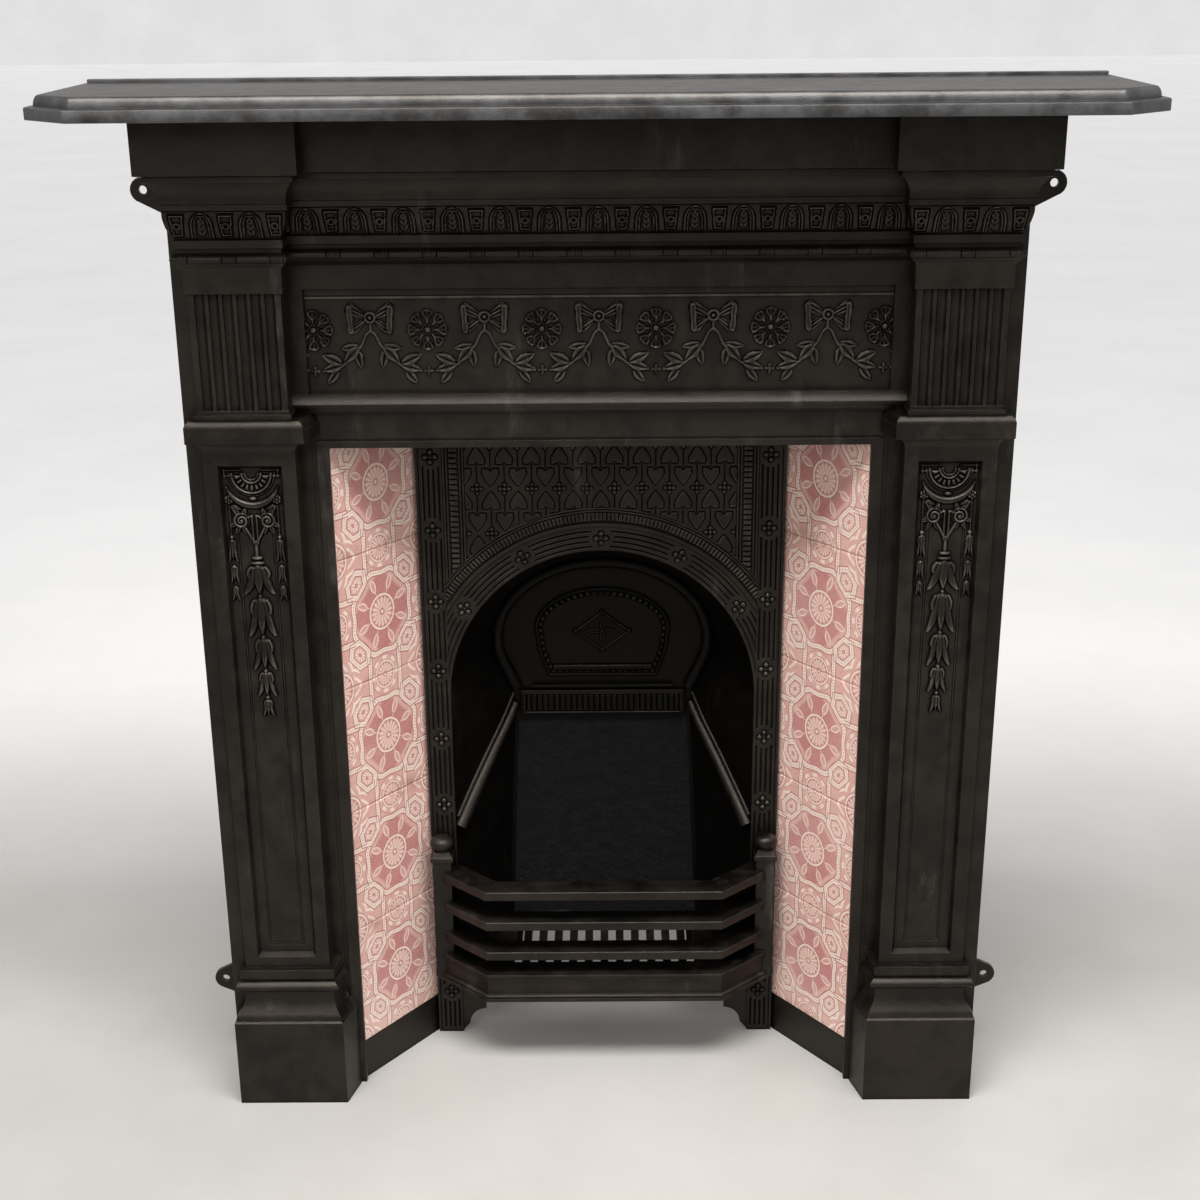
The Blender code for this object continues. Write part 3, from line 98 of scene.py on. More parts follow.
PANEL_BOTTOM = BASE_TOP + 14 * MM
PANEL_TOP = SHAFT_TOP - 24 * MM
PANEL_DEPTH = 7 * MM
FLUTES = 6
FLUTE_PITCH = 14.5 * MM
FLUTE_WIDTH = 10.8 * MM
FLUTE_DEPTH = 5 * MM

# Frieze and cornice
FRIEZE_Y = FRAME_Y - 5 * MM
FRIEZE_HALF = BLOCK_INNER_X - 17 * MM
FRIEZE_BOTTOM = BLOCK_BOTTOM + 10 * MM
FRIEZE_TOP = BLOCK_TOP - 1 * MM
FRIEZE_DEPTH = 6 * MM
NECK_TOP = BLOCK_TOP + 24 * MM
CORNICE_SETBACK = 30 * MM
INNER_RETURN = 0.82
BAND_BOTTOM = NECK_TOP + 33 * MM
BAND_TOP = BAND_BOTTOM + 28 * MM
FASCIA_BOTTOM = BAND_TOP + 36 * MM
FASCIA_STEP = 37 * MM
SHELF_BOTTOM = FASCIA_BOTTOM + 57 * MM
SURROUND_TOP = SHELF_BOTTOM + 14 * MM

# Shelf
SHELF_HALF = PIER_OUTER_X + 106 * MM
SHELF_FRONT_Y = BLOCK_Y - 128 * MM
SHELF_CANT = 50 * MM
SHELF_BAND = 12 * MM
SHELF_TOP = SHELF_BOTTOM + 23 * MM
SHELF_STEP = 9 * MM
SHELF_RIM = 14 * MM
UPSTAND_HEIGHT = 4 * MM
UPSTAND_WIDTH = 8 * MM

# Arch plate
PLATE_STILE = 31 * MM
ARCH_RADIUS = PLATE_HALF - PLATE_STILE
ARCH_SPRING = 459.6 * MM
BRACKET_REACH = 30 * MM
BRACKET_TOP = 92 * MM
BRACKET_BOTTOM = 12 * MM
BRACKET_HOLLOW = 21 * MM

# Grate
BAR_DEPTH = 32 * MM
BAR_THICK = 11 * MM
BAR_REACH = 69 * MM
BAR_FRONT_Y = -BAR_REACH - 14 * MM
BAR_END_X = PLATE_HALF - 1 * MM
BAR_CORNER_X = BAR_END_X - BAR_REACH
RAIL_BOTTOM = 91 * MM
RAIL_TOP = RAIL_BOTTOM + 37 * MM
BAR_PITCH = 40.5 * MM
BARS = 3
TOP_BAR = RAIL_TOP + 30 * MM + (BARS - 1) * BAR_PITCH
POST_WIDTH = 22 * MM
POST_DEPTH = 27 * MM
POST_X = BAR_END_X - 13.5 * MM
KNOB_Y = -16 * MM
KNOB_RADIUS = 14.7 * MM
KNOB_HEIGHT = 19 * MM

# Fireback, brick and flap
HOOD_DEPTH = 110 * MM
BACK_THICK = 8 * MM
HOOD_BOTTOM = RAIL_BOTTOM + 9 * MM
HORSESHOE_HALF = ARCH_RADIUS - 46 * MM
HORSESHOE_Z = ARCH_SPRING + 37.4 * MM
HORSESHOE_RISE = 104 * MM
WAIST_HALF = ARCH_RADIUS - 70 * MM
WAIST_Z = ARCH_SPRING - 29.6 * MM
BRICK_TOP = WAIST_Z - 36 * MM
BRICK_THICK = 30 * MM
BRICK_TOP_HALF = ARCH_RADIUS - 76 * MM
BRICK_FOOT_HALF = ARCH_RADIUS - 60 * MM
FLAP_HALF = HORSESHOE_HALF - 52 * MM
FLAP_FOOT_HALF = FLAP_HALF - 16 * MM
FLAP_Z = HORSESHOE_Z + 13 * MM
FLAP_RISE = 53 * MM
FLAP_BOTTOM = FLAP_Z - 63 * MM
FLAP_SEAT = 4 * MM
FLUE_LAP = 6 * MM

# Fixing lugs on the wall plane: hole centre, and where the web meets the pier
LUG_THICK = 6 * MM
LUG_RADIUS = 13.5 * MM
LUG_HOLE = 4.6 * MM
LUG_SIDES = 16
TOP_LUG_X = PIER_OUTER_X + 42 * MM
TOP_LUG_Z = FASCIA_BOTTOM - 28 * MM
LOW_LUG_X = PIER_OUTER_X + 29 * MM
LOW_LUG_Z = PLINTH_HEIGHT - 5 * MM
TOP_LUG = (TOP_LUG_X, TOP_LUG_Z, TOP_LUG_Z - 37 * MM, TOP_LUG_Z + 26 * MM)
LOW_LUG = (LOW_LUG_X, LOW_LUG_Z, LOW_LUG_Z - 28 * MM, LOW_LUG_Z + 30 * MM)

FIREBACK_REAR = HOOD_DEPTH + BRICK_THICK + BACK_THICK
ROW_SHIFT = -(SHELF_FRONT_Y + FIREBACK_REAR) / 2
MADE = bpy.data.collections.new("finished")
bpy.context.scene.collection.children.link(MADE)


def weld(bm):
    bmesh.ops.remove_doubles(bm, verts=bm.verts, dist=1e-6)
    bmesh.ops.dissolve_degenerate(bm, edges=bm.edges, dist=1e-6)


def carved(name, mesh, steps):
    """Applies Booleans one after another, [(operation, mesh), ...], and returns the result."""
    scene = bpy.context.scene.collection
    obj = bpy.data.objects.new(name, mesh)
    scene.objects.link(obj)
    helpers = []
    for operation, other in steps:
        helper = bpy.data.objects.new(other.name, other)
        scene.objects.link(helper)
        helpers.append(helper)
        modifier = obj.modifiers.new(other.name, "BOOLEAN")
        modifier.operation = operation
        modifier.solver = "EXACT"
        modifier.object = helper
    graph = bpy.context.evaluated_depsgraph_get()
    done = bpy.data.meshes.new_from_object(obj.evaluated_get(graph))
    for extra in [obj] + helpers:
        bpy.data.objects.remove(extra)
    bm = bmesh.new()
    bm.from_mesh(done)
    weld(bm)
    bm.to_mesh(done)
    bm.free()
    return done


def add_piece(name, mesh, material, nodes=(), smooth=28):
    """Moves a finished mesh to the row frame, hangs it on the root body and hides the model parts it
    stands for.
    """
    mesh.transform(Matrix.Translation((0, ROW_SHIFT, 0)))
    mesh.name = name
    obj = bpy.data.objects.new(name, mesh)
    MADE.objects.link(obj)
    mesh.materials.clear()
    mesh.materials.append(material)
    mesh.shade_smooth()
    mesh.set_sharp_from_angle(angle=math.radians(smooth))
    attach(obj, "root")
    if nodes:
        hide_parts(*nodes)
    return obj


def rounded_prism(name, plan, bottom, top, radius):
    """A plan outline carried upwards, with its top and bottom arrises rounded."""
    levels = []
    turns = [math.pi / 2 * i / 3 for i in range(4)]
    for turn in turns:
        levels.append((bottom + radius * (1 - math.sin(turn)), radius * (1 - math.cos(turn))))
    levels = levels[::-1]
    levels += [(top - (z - bottom), inset) for z, inset in levels[::-1]]
    return stack(name, [(z, inset_outline(plan, inset)) for z, inset in levels])


def inset_outline(outline, inset):
    """The outline moved inwards by inset, corner by corner."""
    if abs(inset) < 1e-9:
        return list(outline)
    points = [Vector(p) for p in outline]
    area = sum(a.x * b.y - b.x * a.y for a, b in zip(points, points[1:] + points[:1]))
    turn = 1 if area > 0 else -1
    moved = []
    for i, point in enumerate(points):
        before = (point - points[i - 1]).normalized()
        after = (points[(i + 1) % len(points)] - point).normalized()
        first = Vector((-before.y, before.x)) * turn
        second = Vector((-after.y, after.x)) * turn
        both = first + second
        scale = 2 / max(both.length_squared, 0.3)
        moved.append(tuple(point + both * inset * scale))
    return moved


def grid_parts(x, y, z):
    """Front points of a grid, its outer ring, and the faces of the front and of the rim behind it."""
    rows, columns = x.shape
    front = np.stack([x, y, z], axis=-1).reshape(-1, 3)
    index = np.arange(rows * columns).reshape(rows, columns)
    border = np.concatenate([index[0, :], index[1:, -1], index[-1, -2::-1], index[-2:0:-1, 0]])
    corners = [index[:-1, :-1], index[1:, :-1], index[1:, 1:], index[:-1, 1:]]
    faces = np.stack(corners, axis=-1).reshape(-1, 4)
    rim = np.arange(len(border)) + len(front)
    sides = np.stack([border, np.roll(border, -1), np.roll(rim, -1), rim], axis=-1)
    return front, index, border, rim, faces.tolist() + sides.tolist()


def closed_mesh(name, vertices, faces):
    """A mesh from points and faces whose normals all face out."""
    mesh = bpy.data.meshes.new(name)
    mesh.from_pydata(vertices.tolist(), [], faces)
    bm = bmesh.new()
    bm.from_mesh(mesh)
    bmesh.ops.recalc_face_normals(bm, faces=bm.faces)
    bm.to_mesh(mesh)
    bm.free()
    return mesh


def grid_slab(name, x, y, z, back_y, relief_shading_and_wear):
    """A closed slab: a grid of points in front and a flat back at one depth. Arrays in metres."""
    front, index, border, rim, faces = grid_parts(x, y, z)
    rear = front[border].copy()
    rear[:, 1] = back_y
    place = dict(zip(border.tolist(), rim.tolist()))
    behind = np.vectorize(place.get, otypes=[int])
    left = behind(index[:, 0])
    right = behind(index[:, -1])
    back = [[left[r], right[r], right[r + 1], left[r + 1]] for r in range(1, len(left) - 2)]
    back.append([*behind(index[0, :]), right[1], left[1]])
    back.append([*behind(index[-1, ::-1]), left[-2], right[-2]])
    mesh = closed_mesh(name, np.concatenate([front, rear]), faces + back)
    values = np.zeros(len(front) + len(rear), dtype=np.float32)
    values[: len(front)] = relief_shading_and_wear.reshape(-1)
    # Stores the relief measure that paints shade in hollows and wear with a painted highlight on
    # crests.
    layer = mesh.attributes.new("relief_shading_and_wear", "FLOAT", "POINT")
    layer.data.foreach_set("value", values)
    return mesh


def relief_shading_and_wear_from(height, reach=5):
    """How far each point stands above its surroundings, from -1 in hollows to 1 on crests; it drives
    painted shade in hollows and wear with painted highlight on crests.
    """
    smooth = height.copy()
    for _ in range(reach):
        padded = np.pad(smooth, 1, mode="edge")
        smooth = (
            padded[:-2, 1:-1] + padded[2:, 1:-1] + padded[1:-1, :-2] + padded[1:-1, 2:]
        ) / 4
    spread = (height - smooth) / 0.55
    return np.clip(spread, -1, 1)


def step(a, b, x):
    """Smooth step from 0 at a to 1 at b."""
    t = np.clip((x - a) / (b - a), 0, 1)
    return t * t * (3 - 2 * t)


def dome(distance, radius, height):
    """A round button over a distance from its centre."""
    return height * np.sqrt(np.clip(1 - (distance / radius) ** 2, 0, 1))


def roll(distance, half, height):
    """A half-round moulding over a distance from its middle line."""
    return height * np.sqrt(np.clip(1 - (distance / half) ** 2, 0, 1))


def segment(x, z, ax, az, bx, bz):
    """Distance to a line piece and the share along it."""
    dx = bx - ax
    dz = bz - az
    share = np.clip(((x - ax) * dx + (z - az) * dz) / (dx * dx + dz * dz), 0, 1)
    return np.hypot(x - ax - share * dx, z - az - share * dz), share


def leaf_form(x, z, ax, az, length, width, degrees, height):
    """A pointed dished leaf with a grooved midrib, growing towards a bearing from up."""
    turn = math.radians(degrees)
    along = ((x - ax) * math.sin(turn) + (z - az) * math.cos(turn)) / length
    across = np.abs((x - ax) * math.cos(turn) - (z - az) * math.sin(turn))
    half = width / 2 * np.sin(np.pi * np.clip(along, 0, 1) ** 0.8) ** 0.7
    inside = (along > 0) & (along < 1)
    edge = half - across
    body = height * step(-0.2, 1.3, edge) * (0.80 + 0.25 * np.clip(across / (half + 0.01), 0, 1))
    rib = -0.30 * height * np.exp(-((across / 0.8) ** 2)) * step(0.3, 1.2, edge)
    return np.where(inside, body + rib, 0)


def merge(*heights):
    """The highest of several forms at each point."""
    total = heights[0]
    for other in heights[1:]:
        total = np.maximum(total, other)
    return total


def mesh_from(name, bm):
    """The welded mesh of a solid, with its normals facing out."""
    weld(bm)
    bmesh.ops.recalc_face_normals(bm, faces=bm.faces)
    mesh = bpy.data.meshes.new(name)
    bm.to_mesh(mesh)
    bm.free()
    return mesh


def box_mesh(name, low, high):
    middle = [(a + b) / 2 for a, b in zip(low, high)]
    size = [b - a for a, b in zip(low, high)]
    bm = bmesh.new()
    matrix = Matrix.Translation(middle) @ Matrix.Diagonal((*size, 1))
    bmesh.ops.create_cube(bm, size=1, matrix=matrix)
    return mesh_from(name, bm)


def loft(name, rings):
    """Joins rings of one point count, each a list of (x, y, z), into a closed solid."""
    bm = bmesh.new()
    loops = [[bm.verts.new(point) for point in ring] for ring in rings]
    for one, two in zip(loops, loops[1:]):
        for i in range(len(one)):
            j = (i + 1) % len(one)
            bm.faces.new((one[i], one[j], two[j], two[i]))
    bm.faces.new(loops[0])
    bm.faces.new(loops[-1])
    return mesh_from(name, bm)


def stack(name, levels):
    """A loft of plan outlines, [(height, [(x, y), ...]), ...]."""
    return loft(name, [[(x, y, z) for x, y in outline] for z, outline in levels])


def mirrored_outline(right):
    """Closes a right half, listed from the middle outwards and back, with its mirror image."""
    left = [(-x, y) for x, y in reversed(right) if x > 1e-9]
    return right + left


def flat_shape(name, outlines, thickness, matrix):
    """Flat outlines as slabs about the XY plane, moved by a matrix. One inside another is a hole."""
    curve = bpy.data.curves.new(name, "CURVE")
    curve.dimensions = "2D"
    curve.fill_mode = "BOTH"
    curve.extrude = thickness / 2
    for outline in outlines:
        spline = curve.splines.new("POLY")
        spline.points.add(len(outline) - 1)
        for point, (x, y) in zip(spline.points, outline):
            point.co = (x, y, 0, 1)
        spline.use_cyclic_u = True
    guide = bpy.data.objects.new(name, curve)
    bpy.context.scene.collection.objects.link(guide)
    graph = bpy.context.evaluated_depsgraph_get()
    mesh = bpy.data.meshes.new_from_object(guide.evaluated_get(graph))
    mesh.transform(matrix)
    bpy.data.objects.remove(guide)
    bm = bmesh.new()
    bm.from_mesh(mesh)
    bpy.data.meshes.remove(mesh)
    return mesh_from(name, bm)


def relief(name, outlines, front_y, back_y):
    """Slabs standing in the XZ plane, one for each outline; an outline inside another is a hole."""
    middle = Matrix.Translation((0, (front_y + back_y) / 2, 0))
    upright_turn = Matrix.Rotation(math.pi / 2, 4, "X")
    return flat_shape(name, outlines, back_y - front_y, middle @ upright_turn)


def upright(name, outline, bottom, top):
    """A plan outline, [(x, y), ...], carried from one height to another."""
    return flat_shape(name, [outline], top - bottom, Matrix.Translation((0, 0, (bottom + top) / 2)))


def arc(center, radius, start, end, steps, squash=1.0):
    points = []
    for i in range(steps + 1):
        angle = math.radians(start + (end - start) * i / steps)
        x = center[0] + radius * math.cos(angle)
        points.append((x, center[1] + squash * radius * math.sin(angle)))
    return points


def curve_between(start, end, bulge, steps):
    """Heights and projections of a moulding: a straight line bowed by bulge at its middle."""
    points = []
    for i in range(steps + 1):
        share = i / steps
        z = start[0] + (end[0] - start[0]) * share
        projection = start[1] + (end[1] - start[1]) * share
        points.append((z, projection + bulge * math.sin(math.pi * share)))
    return points


def surround_outline(face, outer, inner, flank_foot, centre):
    """One level's plan outline. face and centre are the depths of the pier and of the middle."""
    side = max(PIER_OUTER_X, outer)
    return mirrored_outline(
        [
            (0, centre),
            (flank_foot, centre),
            (inner, face),
            (outer, face),
            (outer, STRIP_Y),
            (side, STRIP_Y),
            (side, WALL_Y),
            (0, WALL_Y),
        ]
    )


def pilaster_levels():
    """Plinth, base, shaft and capital, each level as (height, face, outer, inner, foot)."""
    levels = []

    def level(z, out, canted, shrink=0.0):
        """out is how far this level stands in front of the shaft, canted by how much."""
        share = out / (SHAFT_Y - PLINTH_Y)
        outer = SHAFT_OUTER_X + share * (PLINTH_OUTER_X - SHAFT_OUTER_X)
        inner = SHAFT_INNER_X - share * (SHAFT_INNER_X - PLINTH_INNER_X)
        levels.append((z, SHAFT_Y - out, outer - shrink, inner + shrink, inner - canted))

    full = SHAFT_Y - PLINTH_Y
    level(0, full, CANT)
    level(PLINTH_HEIGHT - 4 * MM, full, CANT)
    level(PLINTH_HEIGHT - 2 * MM, full - 2 * MM, CANT)
    level(PLINTH_HEIGHT, full - 2 * MM, CANT)
    scotia = curve_between(
        (PLINTH_HEIGHT + 4 * MM, full - 3 * MM), (BASE_TOP - 31 * MM, 3 * MM), -3.4 * MM, 12
    )
    for z, out in scotia:
        level(z, out, CANT * 0.8)
    torus = curve_between(
        (BASE_TOP - 29.5 * MM, 6 * MM), (BASE_TOP - 16 * MM, 6 * MM), 5.5 * MM, 12
    )
    for z, out in torus:
        level(z, out, CANT * 0.6)
    level(BASE_TOP - 15.2 * MM, 3.5 * MM, CANT * 0.5)
    level(BASE_TOP - 12.8 * MM, 3.5 * MM, CANT * 0.5)
    level(BASE_TOP - 12 * MM, 6 * MM, CANT * 0.5)
    level(BASE_TOP - 1 * MM, 6 * MM, CANT * 0.5)
    level(BASE_TOP, 0, 0)
    for z, out in curve_between((SHAFT_TOP - 10 * MM, 0), (SHAFT_TOP, 5 * MM), -1 * MM, 6):
        level(z, out, 0)
    level(SHAFT_TOP + 2.5 * MM, CAP_STEP, CANT * 0.9)
    level(SHAFT_TOP + 16 * MM, CAP_STEP, CANT * 0.9)
    cyma = curve_between(
        (SHAFT_TOP + 17 * MM, CAP_STEP), (SHAFT_TOP + 26 * MM, CAP_STEP - 4 * MM), 1.5 * MM, 8
    )
    for z, out in cyma:
        level(z, out, CANT * 0.8)
    return levels


def block_levels():
    """Fluted block and necking, as (height, projection of the pier, projection of the middle)."""
    return [
        (BLOCK_BOTTOM - 10.4 * MM, 2 * MM, 2 * MM),
        (BLOCK_BOTTOM - 8.5 * MM, 2 * MM, 2 * MM),
        (BLOCK_BOTTOM - 8 * MM, 4 * MM, 4 * MM),
        (BLOCK_BOTTOM - 4 * MM, 4 * MM, 6 * MM),
        (BLOCK_BOTTOM - 3.4 * MM, 1.5 * MM, 8 * MM),
        (BLOCK_BOTTOM, 1.5 * MM, 9.5 * MM),
        (BLOCK_BOTTOM + 0.5 * MM, 0, 9.5 * MM),
        (FRIEZE_BOTTOM - 5 * MM, 0, 7 * MM),
        (FRIEZE_BOTTOM, 0, 0),
        (BLOCK_TOP, 0, 0),
        (BLOCK_TOP + 0.6 * MM, 3 * MM, 0),
        (NECK_TOP, 3 * MM, 0),
    ]


def cornice_levels():
    """The cornice above the necking, as (height, projection)."""
    bead = NECK_TOP + 7 * MM
    levels = [(NECK_TOP + 4 * MM, 5 * MM), (bead, 9 * MM)]
    levels += curve_between(
        (bead + 0.8 * MM, 9.5 * MM), (bead + 10.6 * MM, 9.5 * MM), 3.2 * MM, 8
    )
    levels += [
        (bead + 11.2 * MM, 6 * MM),
        (bead + 15.4 * MM, 6 * MM),
        (bead + 16 * MM, 8.5 * MM),
        (BAND_BOTTOM - 2 * MM, 8.5 * MM),
        (BAND_BOTTOM - 1.4 * MM, 7.5 * MM),
    ]
    levels += curve_between((BAND_BOTTOM, 6.3 * MM), (BAND_TOP, 15.3 * MM), 3 * MM, 8)
    cavetto = BAND_TOP + 6.6 * MM
    levels += [(BAND_TOP + 0.6 * MM, 18.5 * MM), (BAND_TOP + 6 * MM, 18.5 * MM)]
    levels += curve_between(
        (cavetto, 17.5 * MM), (FASCIA_BOTTOM - 8 * MM, 27 * MM), -3 * MM, 10
    )
    levels += [
        (FASCIA_BOTTOM - 7.4 * MM, 30 * MM),
        (FASCIA_BOTTOM - 2 * MM, 30 * MM),
        (FASCIA_BOTTOM, FASCIA_STEP),
        (SURROUND_TOP, FASCIA_STEP),
    ]
    return levels


def surround_body():
    levels = []
    for z, face, outer, inner, foot in pilaster_levels():
        levels.append((z, surround_outline(face, outer, inner, foot, FRAME_Y)))
    upper = [(z, out, FRIEZE_Y - middle) for z, out, middle in block_levels()]
    upper += [(z, out, BLOCK_Y - out + CORNICE_SETBACK) for z, out in cornice_levels()]
    for z, out, centre in upper:
        inner = BLOCK_INNER_X - INNER_RETURN * out
        outline = surround_outline(BLOCK_Y - out, BLOCK_OUTER_X + out, inner, inner, centre)
        levels.append((z, outline))
    return stack("surround", levels)


def middle_hollow():
    """The space behind frame, frieze and cornice, from pier to pier."""
    back = WALL_Y + 2 * MM
    steps = [
        (-2 * BITE, FRAME_Y + IRON, SHAFT_INNER_X),
        (NECK_TOP + 1.5 * IRON, BLOCK_Y + CORNICE_SETBACK, SHAFT_INNER_X - 2.5 * IRON),
        (
            FASCIA_BOTTOM + IRON / 2,
            BLOCK_Y - FASCIA_STEP + CORNICE_SETBACK + IRON,
            SHAFT_INNER_X - 4 * IRON,
        ),
    ]
    tops = [low for low, *_ in steps[1:]] + [SURROUND_TOP - 2 * IRON]
    levels = []
    for (low, front, half), top in zip(steps, tops):
        outline = [(-half, front), (half, front), (half, back), (-half, back)]
        levels += [(low, outline), (top - SEAM, outline)]
    return stack("cut_middle_hollow", levels)


def pier_hollow():
    """The space inside both piers, open to the wall: it steps out with plinth and cornice."""
    wall = SHAFT_INNER_X + IRON
    side = PIER_OUTER_X - IRON
    face_side = BLOCK_OUTER_X - IRON
    steps = [
        (IRON, PLINTH_Y + IRON, PLINTH_INNER_X + 1.5 * IRON, PLINTH_OUTER_X - IRON),
        (PLINTH_HEIGHT - IRON, SHAFT_Y + PANEL_DEPTH + IRON, wall, face_side),
        (BLOCK_BOTTOM - 2 * IRON, BLOCK_Y + FLUTE_DEPTH + IRON, wall + IRON, face_side),
        (BLOCK_TOP + IRON, BLOCK_Y + IRON, wall + IRON, face_side),
        (FASCIA_BOTTOM + IRON / 2, BLOCK_Y - FASCIA_STEP + IRON, wall - 3 * IRON, side + 2 * IRON),
    ]
    tops = [low for low, *_ in steps[1:]] + [SURROUND_TOP - 2 * IRON - BITE]
    levels = []
    for (low, front, inner, outer), top in zip(steps, tops):
        outline = [
            (inner, front),
            (outer, front),
            (outer, STRIP_Y + IRON),
            (side, STRIP_Y + IRON),
            (side, WALL_Y + 3 * BITE),
            (wall, WALL_Y + 3 * BITE),
            (wall, STRIP_Y + IRON),
            (inner, STRIP_Y + IRON),
        ]
        levels += [(low, outline), (top - SEAM, outline)]
    right = stack("cut_pier_hollows", levels)
    bm = bmesh.new()
    bm.from_mesh(right)
    bmesh.ops.scale(bm, vec=(-1, 1, 1), verts=bm.verts)
    bmesh.ops.reverse_faces(bm, faces=bm.faces)
    bm.from_mesh(right)
    return mesh_from("cut_pier_hollows", bm)


def panel_cutter():
    """Sunk panels of the two shafts, with sloping sides."""
    bm = bmesh.new()
    outer = SHAFT_OUTER_X - PANEL_MARGIN
    inner = SHAFT_INNER_X + PANEL_MARGIN
    slope = 3.5 * MM
    proud = 1 * MM
    for side in (1, -1):
        rings = []
        for depth, shrink in ((-proud, -proud * slope / PANEL_DEPTH), (PANEL_DEPTH, slope)):
            y = SHAFT_Y + depth
            corners = (
                (inner + shrink, PANEL_BOTTOM + shrink),
                (outer - shrink, PANEL_BOTTOM + shrink),
                (outer - shrink, PANEL_TOP - shrink),
                (inner + shrink, PANEL_TOP - shrink),
            )
            rings.append([bm.verts.new((side * x, y, z)) for x, z in corners])
        for i in range(4):
            j = (i + 1) % 4
            bm.faces.new((rings[0][i], rings[0][j], rings[1][j], rings[1][i]))
        bm.faces.new(rings[0])
        bm.faces.new(rings[1])
    return mesh_from("cut_shaft_panels", bm)


def flute_cutter():
    bm = bmesh.new()
    height = BLOCK_TOP - BLOCK_BOTTOM
    middle = (BLOCK_OUTER_X + BLOCK_INNER_X) / 2
    squash = FLUTE_DEPTH / (FLUTE_WIDTH / 2)
    for side in (1, -1):
        for i in range(FLUTES):
            x = side * (middle + (i - (FLUTES - 1) / 2) * FLUTE_PITCH)
            place = Matrix.Translation((x, BLOCK_Y, BLOCK_BOTTOM + height / 2))
            bmesh.ops.create_cone(
                bm,
                cap_ends=True,
                segments=28,
                radius1=FLUTE_WIDTH / 2,
                radius2=FLUTE_WIDTH / 2,
                depth=height,
                matrix=place @ Matrix.Diagonal((1, squash, 1, 1)),
            )
    return mesh_from("cut_flutes", bm)


def frame_groove():
    """A shallow line that frames the tiled opening on three sides."""
    outer = OPENING_HALF + FRAME_WIDTH
    inner = OPENING_HALF + 13 * MM
    top = OPENING_TOP + (outer - OPENING_HALF) * 0.55
    low_top = OPENING_TOP + (inner - OPENING_HALF) * 0.55
    path = [(outer, -BITE), (outer, top), (-outer, top), (-outer, -BITE)]
    path += [(-inner, -BITE), (-inner, low_top), (inner, low_top), (inner, -BITE)]
    return relief("cut_frame_groove", [path], FRAME_Y - BITE, FRAME_Y + 1.6 * MM)


def lug(name, place, side):
    x, z, low, high = place
    root = PIER_OUTER_X - 2 * MM
    outline = [(root, low), (root, high)]
    outline += arc((x, z), LUG_RADIUS, 75, -75, 8)
    hole = arc((x, z), LUG_HOLE, 0, 360 - 360 / LUG_SIDES, LUG_SIDES - 1)
    if side < 0:
        outline = [(-px, pz) for px, pz in outline]
        hole = [(-px, pz) for px, pz in hole]
    return relief(name, [outline, hole], WALL_Y - LUG_THICK, WALL_Y)


def shelf_outline(inset):
    half = SHELF_HALF - inset
    front = SHELF_FRONT_Y + inset
    cant = SHELF_CANT - inset * (2 - math.sqrt(2))
    right = [(0, front), (half - cant, front), (half, front + cant), (half, WALL_Y), (0, WALL_Y)]
    return mirrored_outline(right)


def splay():
    """Plan of one right-hand tile: its outer front corner, its direction inwards and its normal."""
    corner = Vector((TILE_CORNER_X, TILE_CORNER_Y))
    target = Vector((PLATE_HALF, PLATE_THICK))
    aim = target - corner
    slack = math.asin(SEAM / aim.length)
    along = aim.normalized()
    along.rotate(Matrix.Rotation(-slack, 2))
    normal = Vector((along.y, -along.x))
    return corner, along, normal


def splay_points(front, back, start, end):
    """Plan corners of a strip along the splay, from start to end, front to back of the tile face."""
    corner, along, normal = splay()
    return [
        tuple(corner + along * start + normal * front),
        tuple(corner + along * end + normal * front),
        tuple(corner + along * end + normal * back),
        tuple(corner + along * start + normal * back),
    ]


def kerb_plan():
    """The tiles' own footprint, carried on until it runs into the plate and the tray."""
    plan = splay_points(0, TILE_THICK + 2 * SEAM, 0, TILE + 2 * SEAM)
    normal = splay()[2]
    plan[1] = tuple(Vector(plan[1]) - normal * 2 * SEAM)
    return plan


def insert_section():
    """Plan of the arch plate with the two trays that back the tiles."""
    gap = TILE_THICK + SEAM
    corner, along, normal = splay()
    end = TILE + SEAM
    web = TRAY_THICK
    right = [
        (0, 0),
        (PLATE_HALF, 0),
        (PLATE_HALF, PLATE_THICK),
        tuple(corner + along * end + normal * 0),
        tuple(corner + along * end + normal * gap),
        tuple(corner + normal * gap),
        tuple(corner + normal * (gap + web)),
        tuple(corner + along * (end + web) + normal * (gap + web)),
        (PLATE_HALF - 14 * MM, PLATE_THICK),
        (0, PLATE_THICK),
    ]
    return mirrored_outline(right)


def opening_outline():
    """The plate's opening: a round head on legs that end in hollow-curved corbels."""
    start = ARCH_RADIUS - BRACKET_REACH
    right = [(ARCH_RADIUS, -BITE), (ARCH_RADIUS, 2 * MM)]
    right += arc((start, BRACKET_BOTTOM), BRACKET_HOLLOW, 0, 90, 14)
    right += [(start, BRACKET_TOP), (ARCH_RADIUS, BRACKET_TOP)]
    head = arc((0, ARCH_SPRING), ARCH_RADIUS, 0, 180, 96)
    return right + head + [(-x, z) for x, z in reversed(right)]


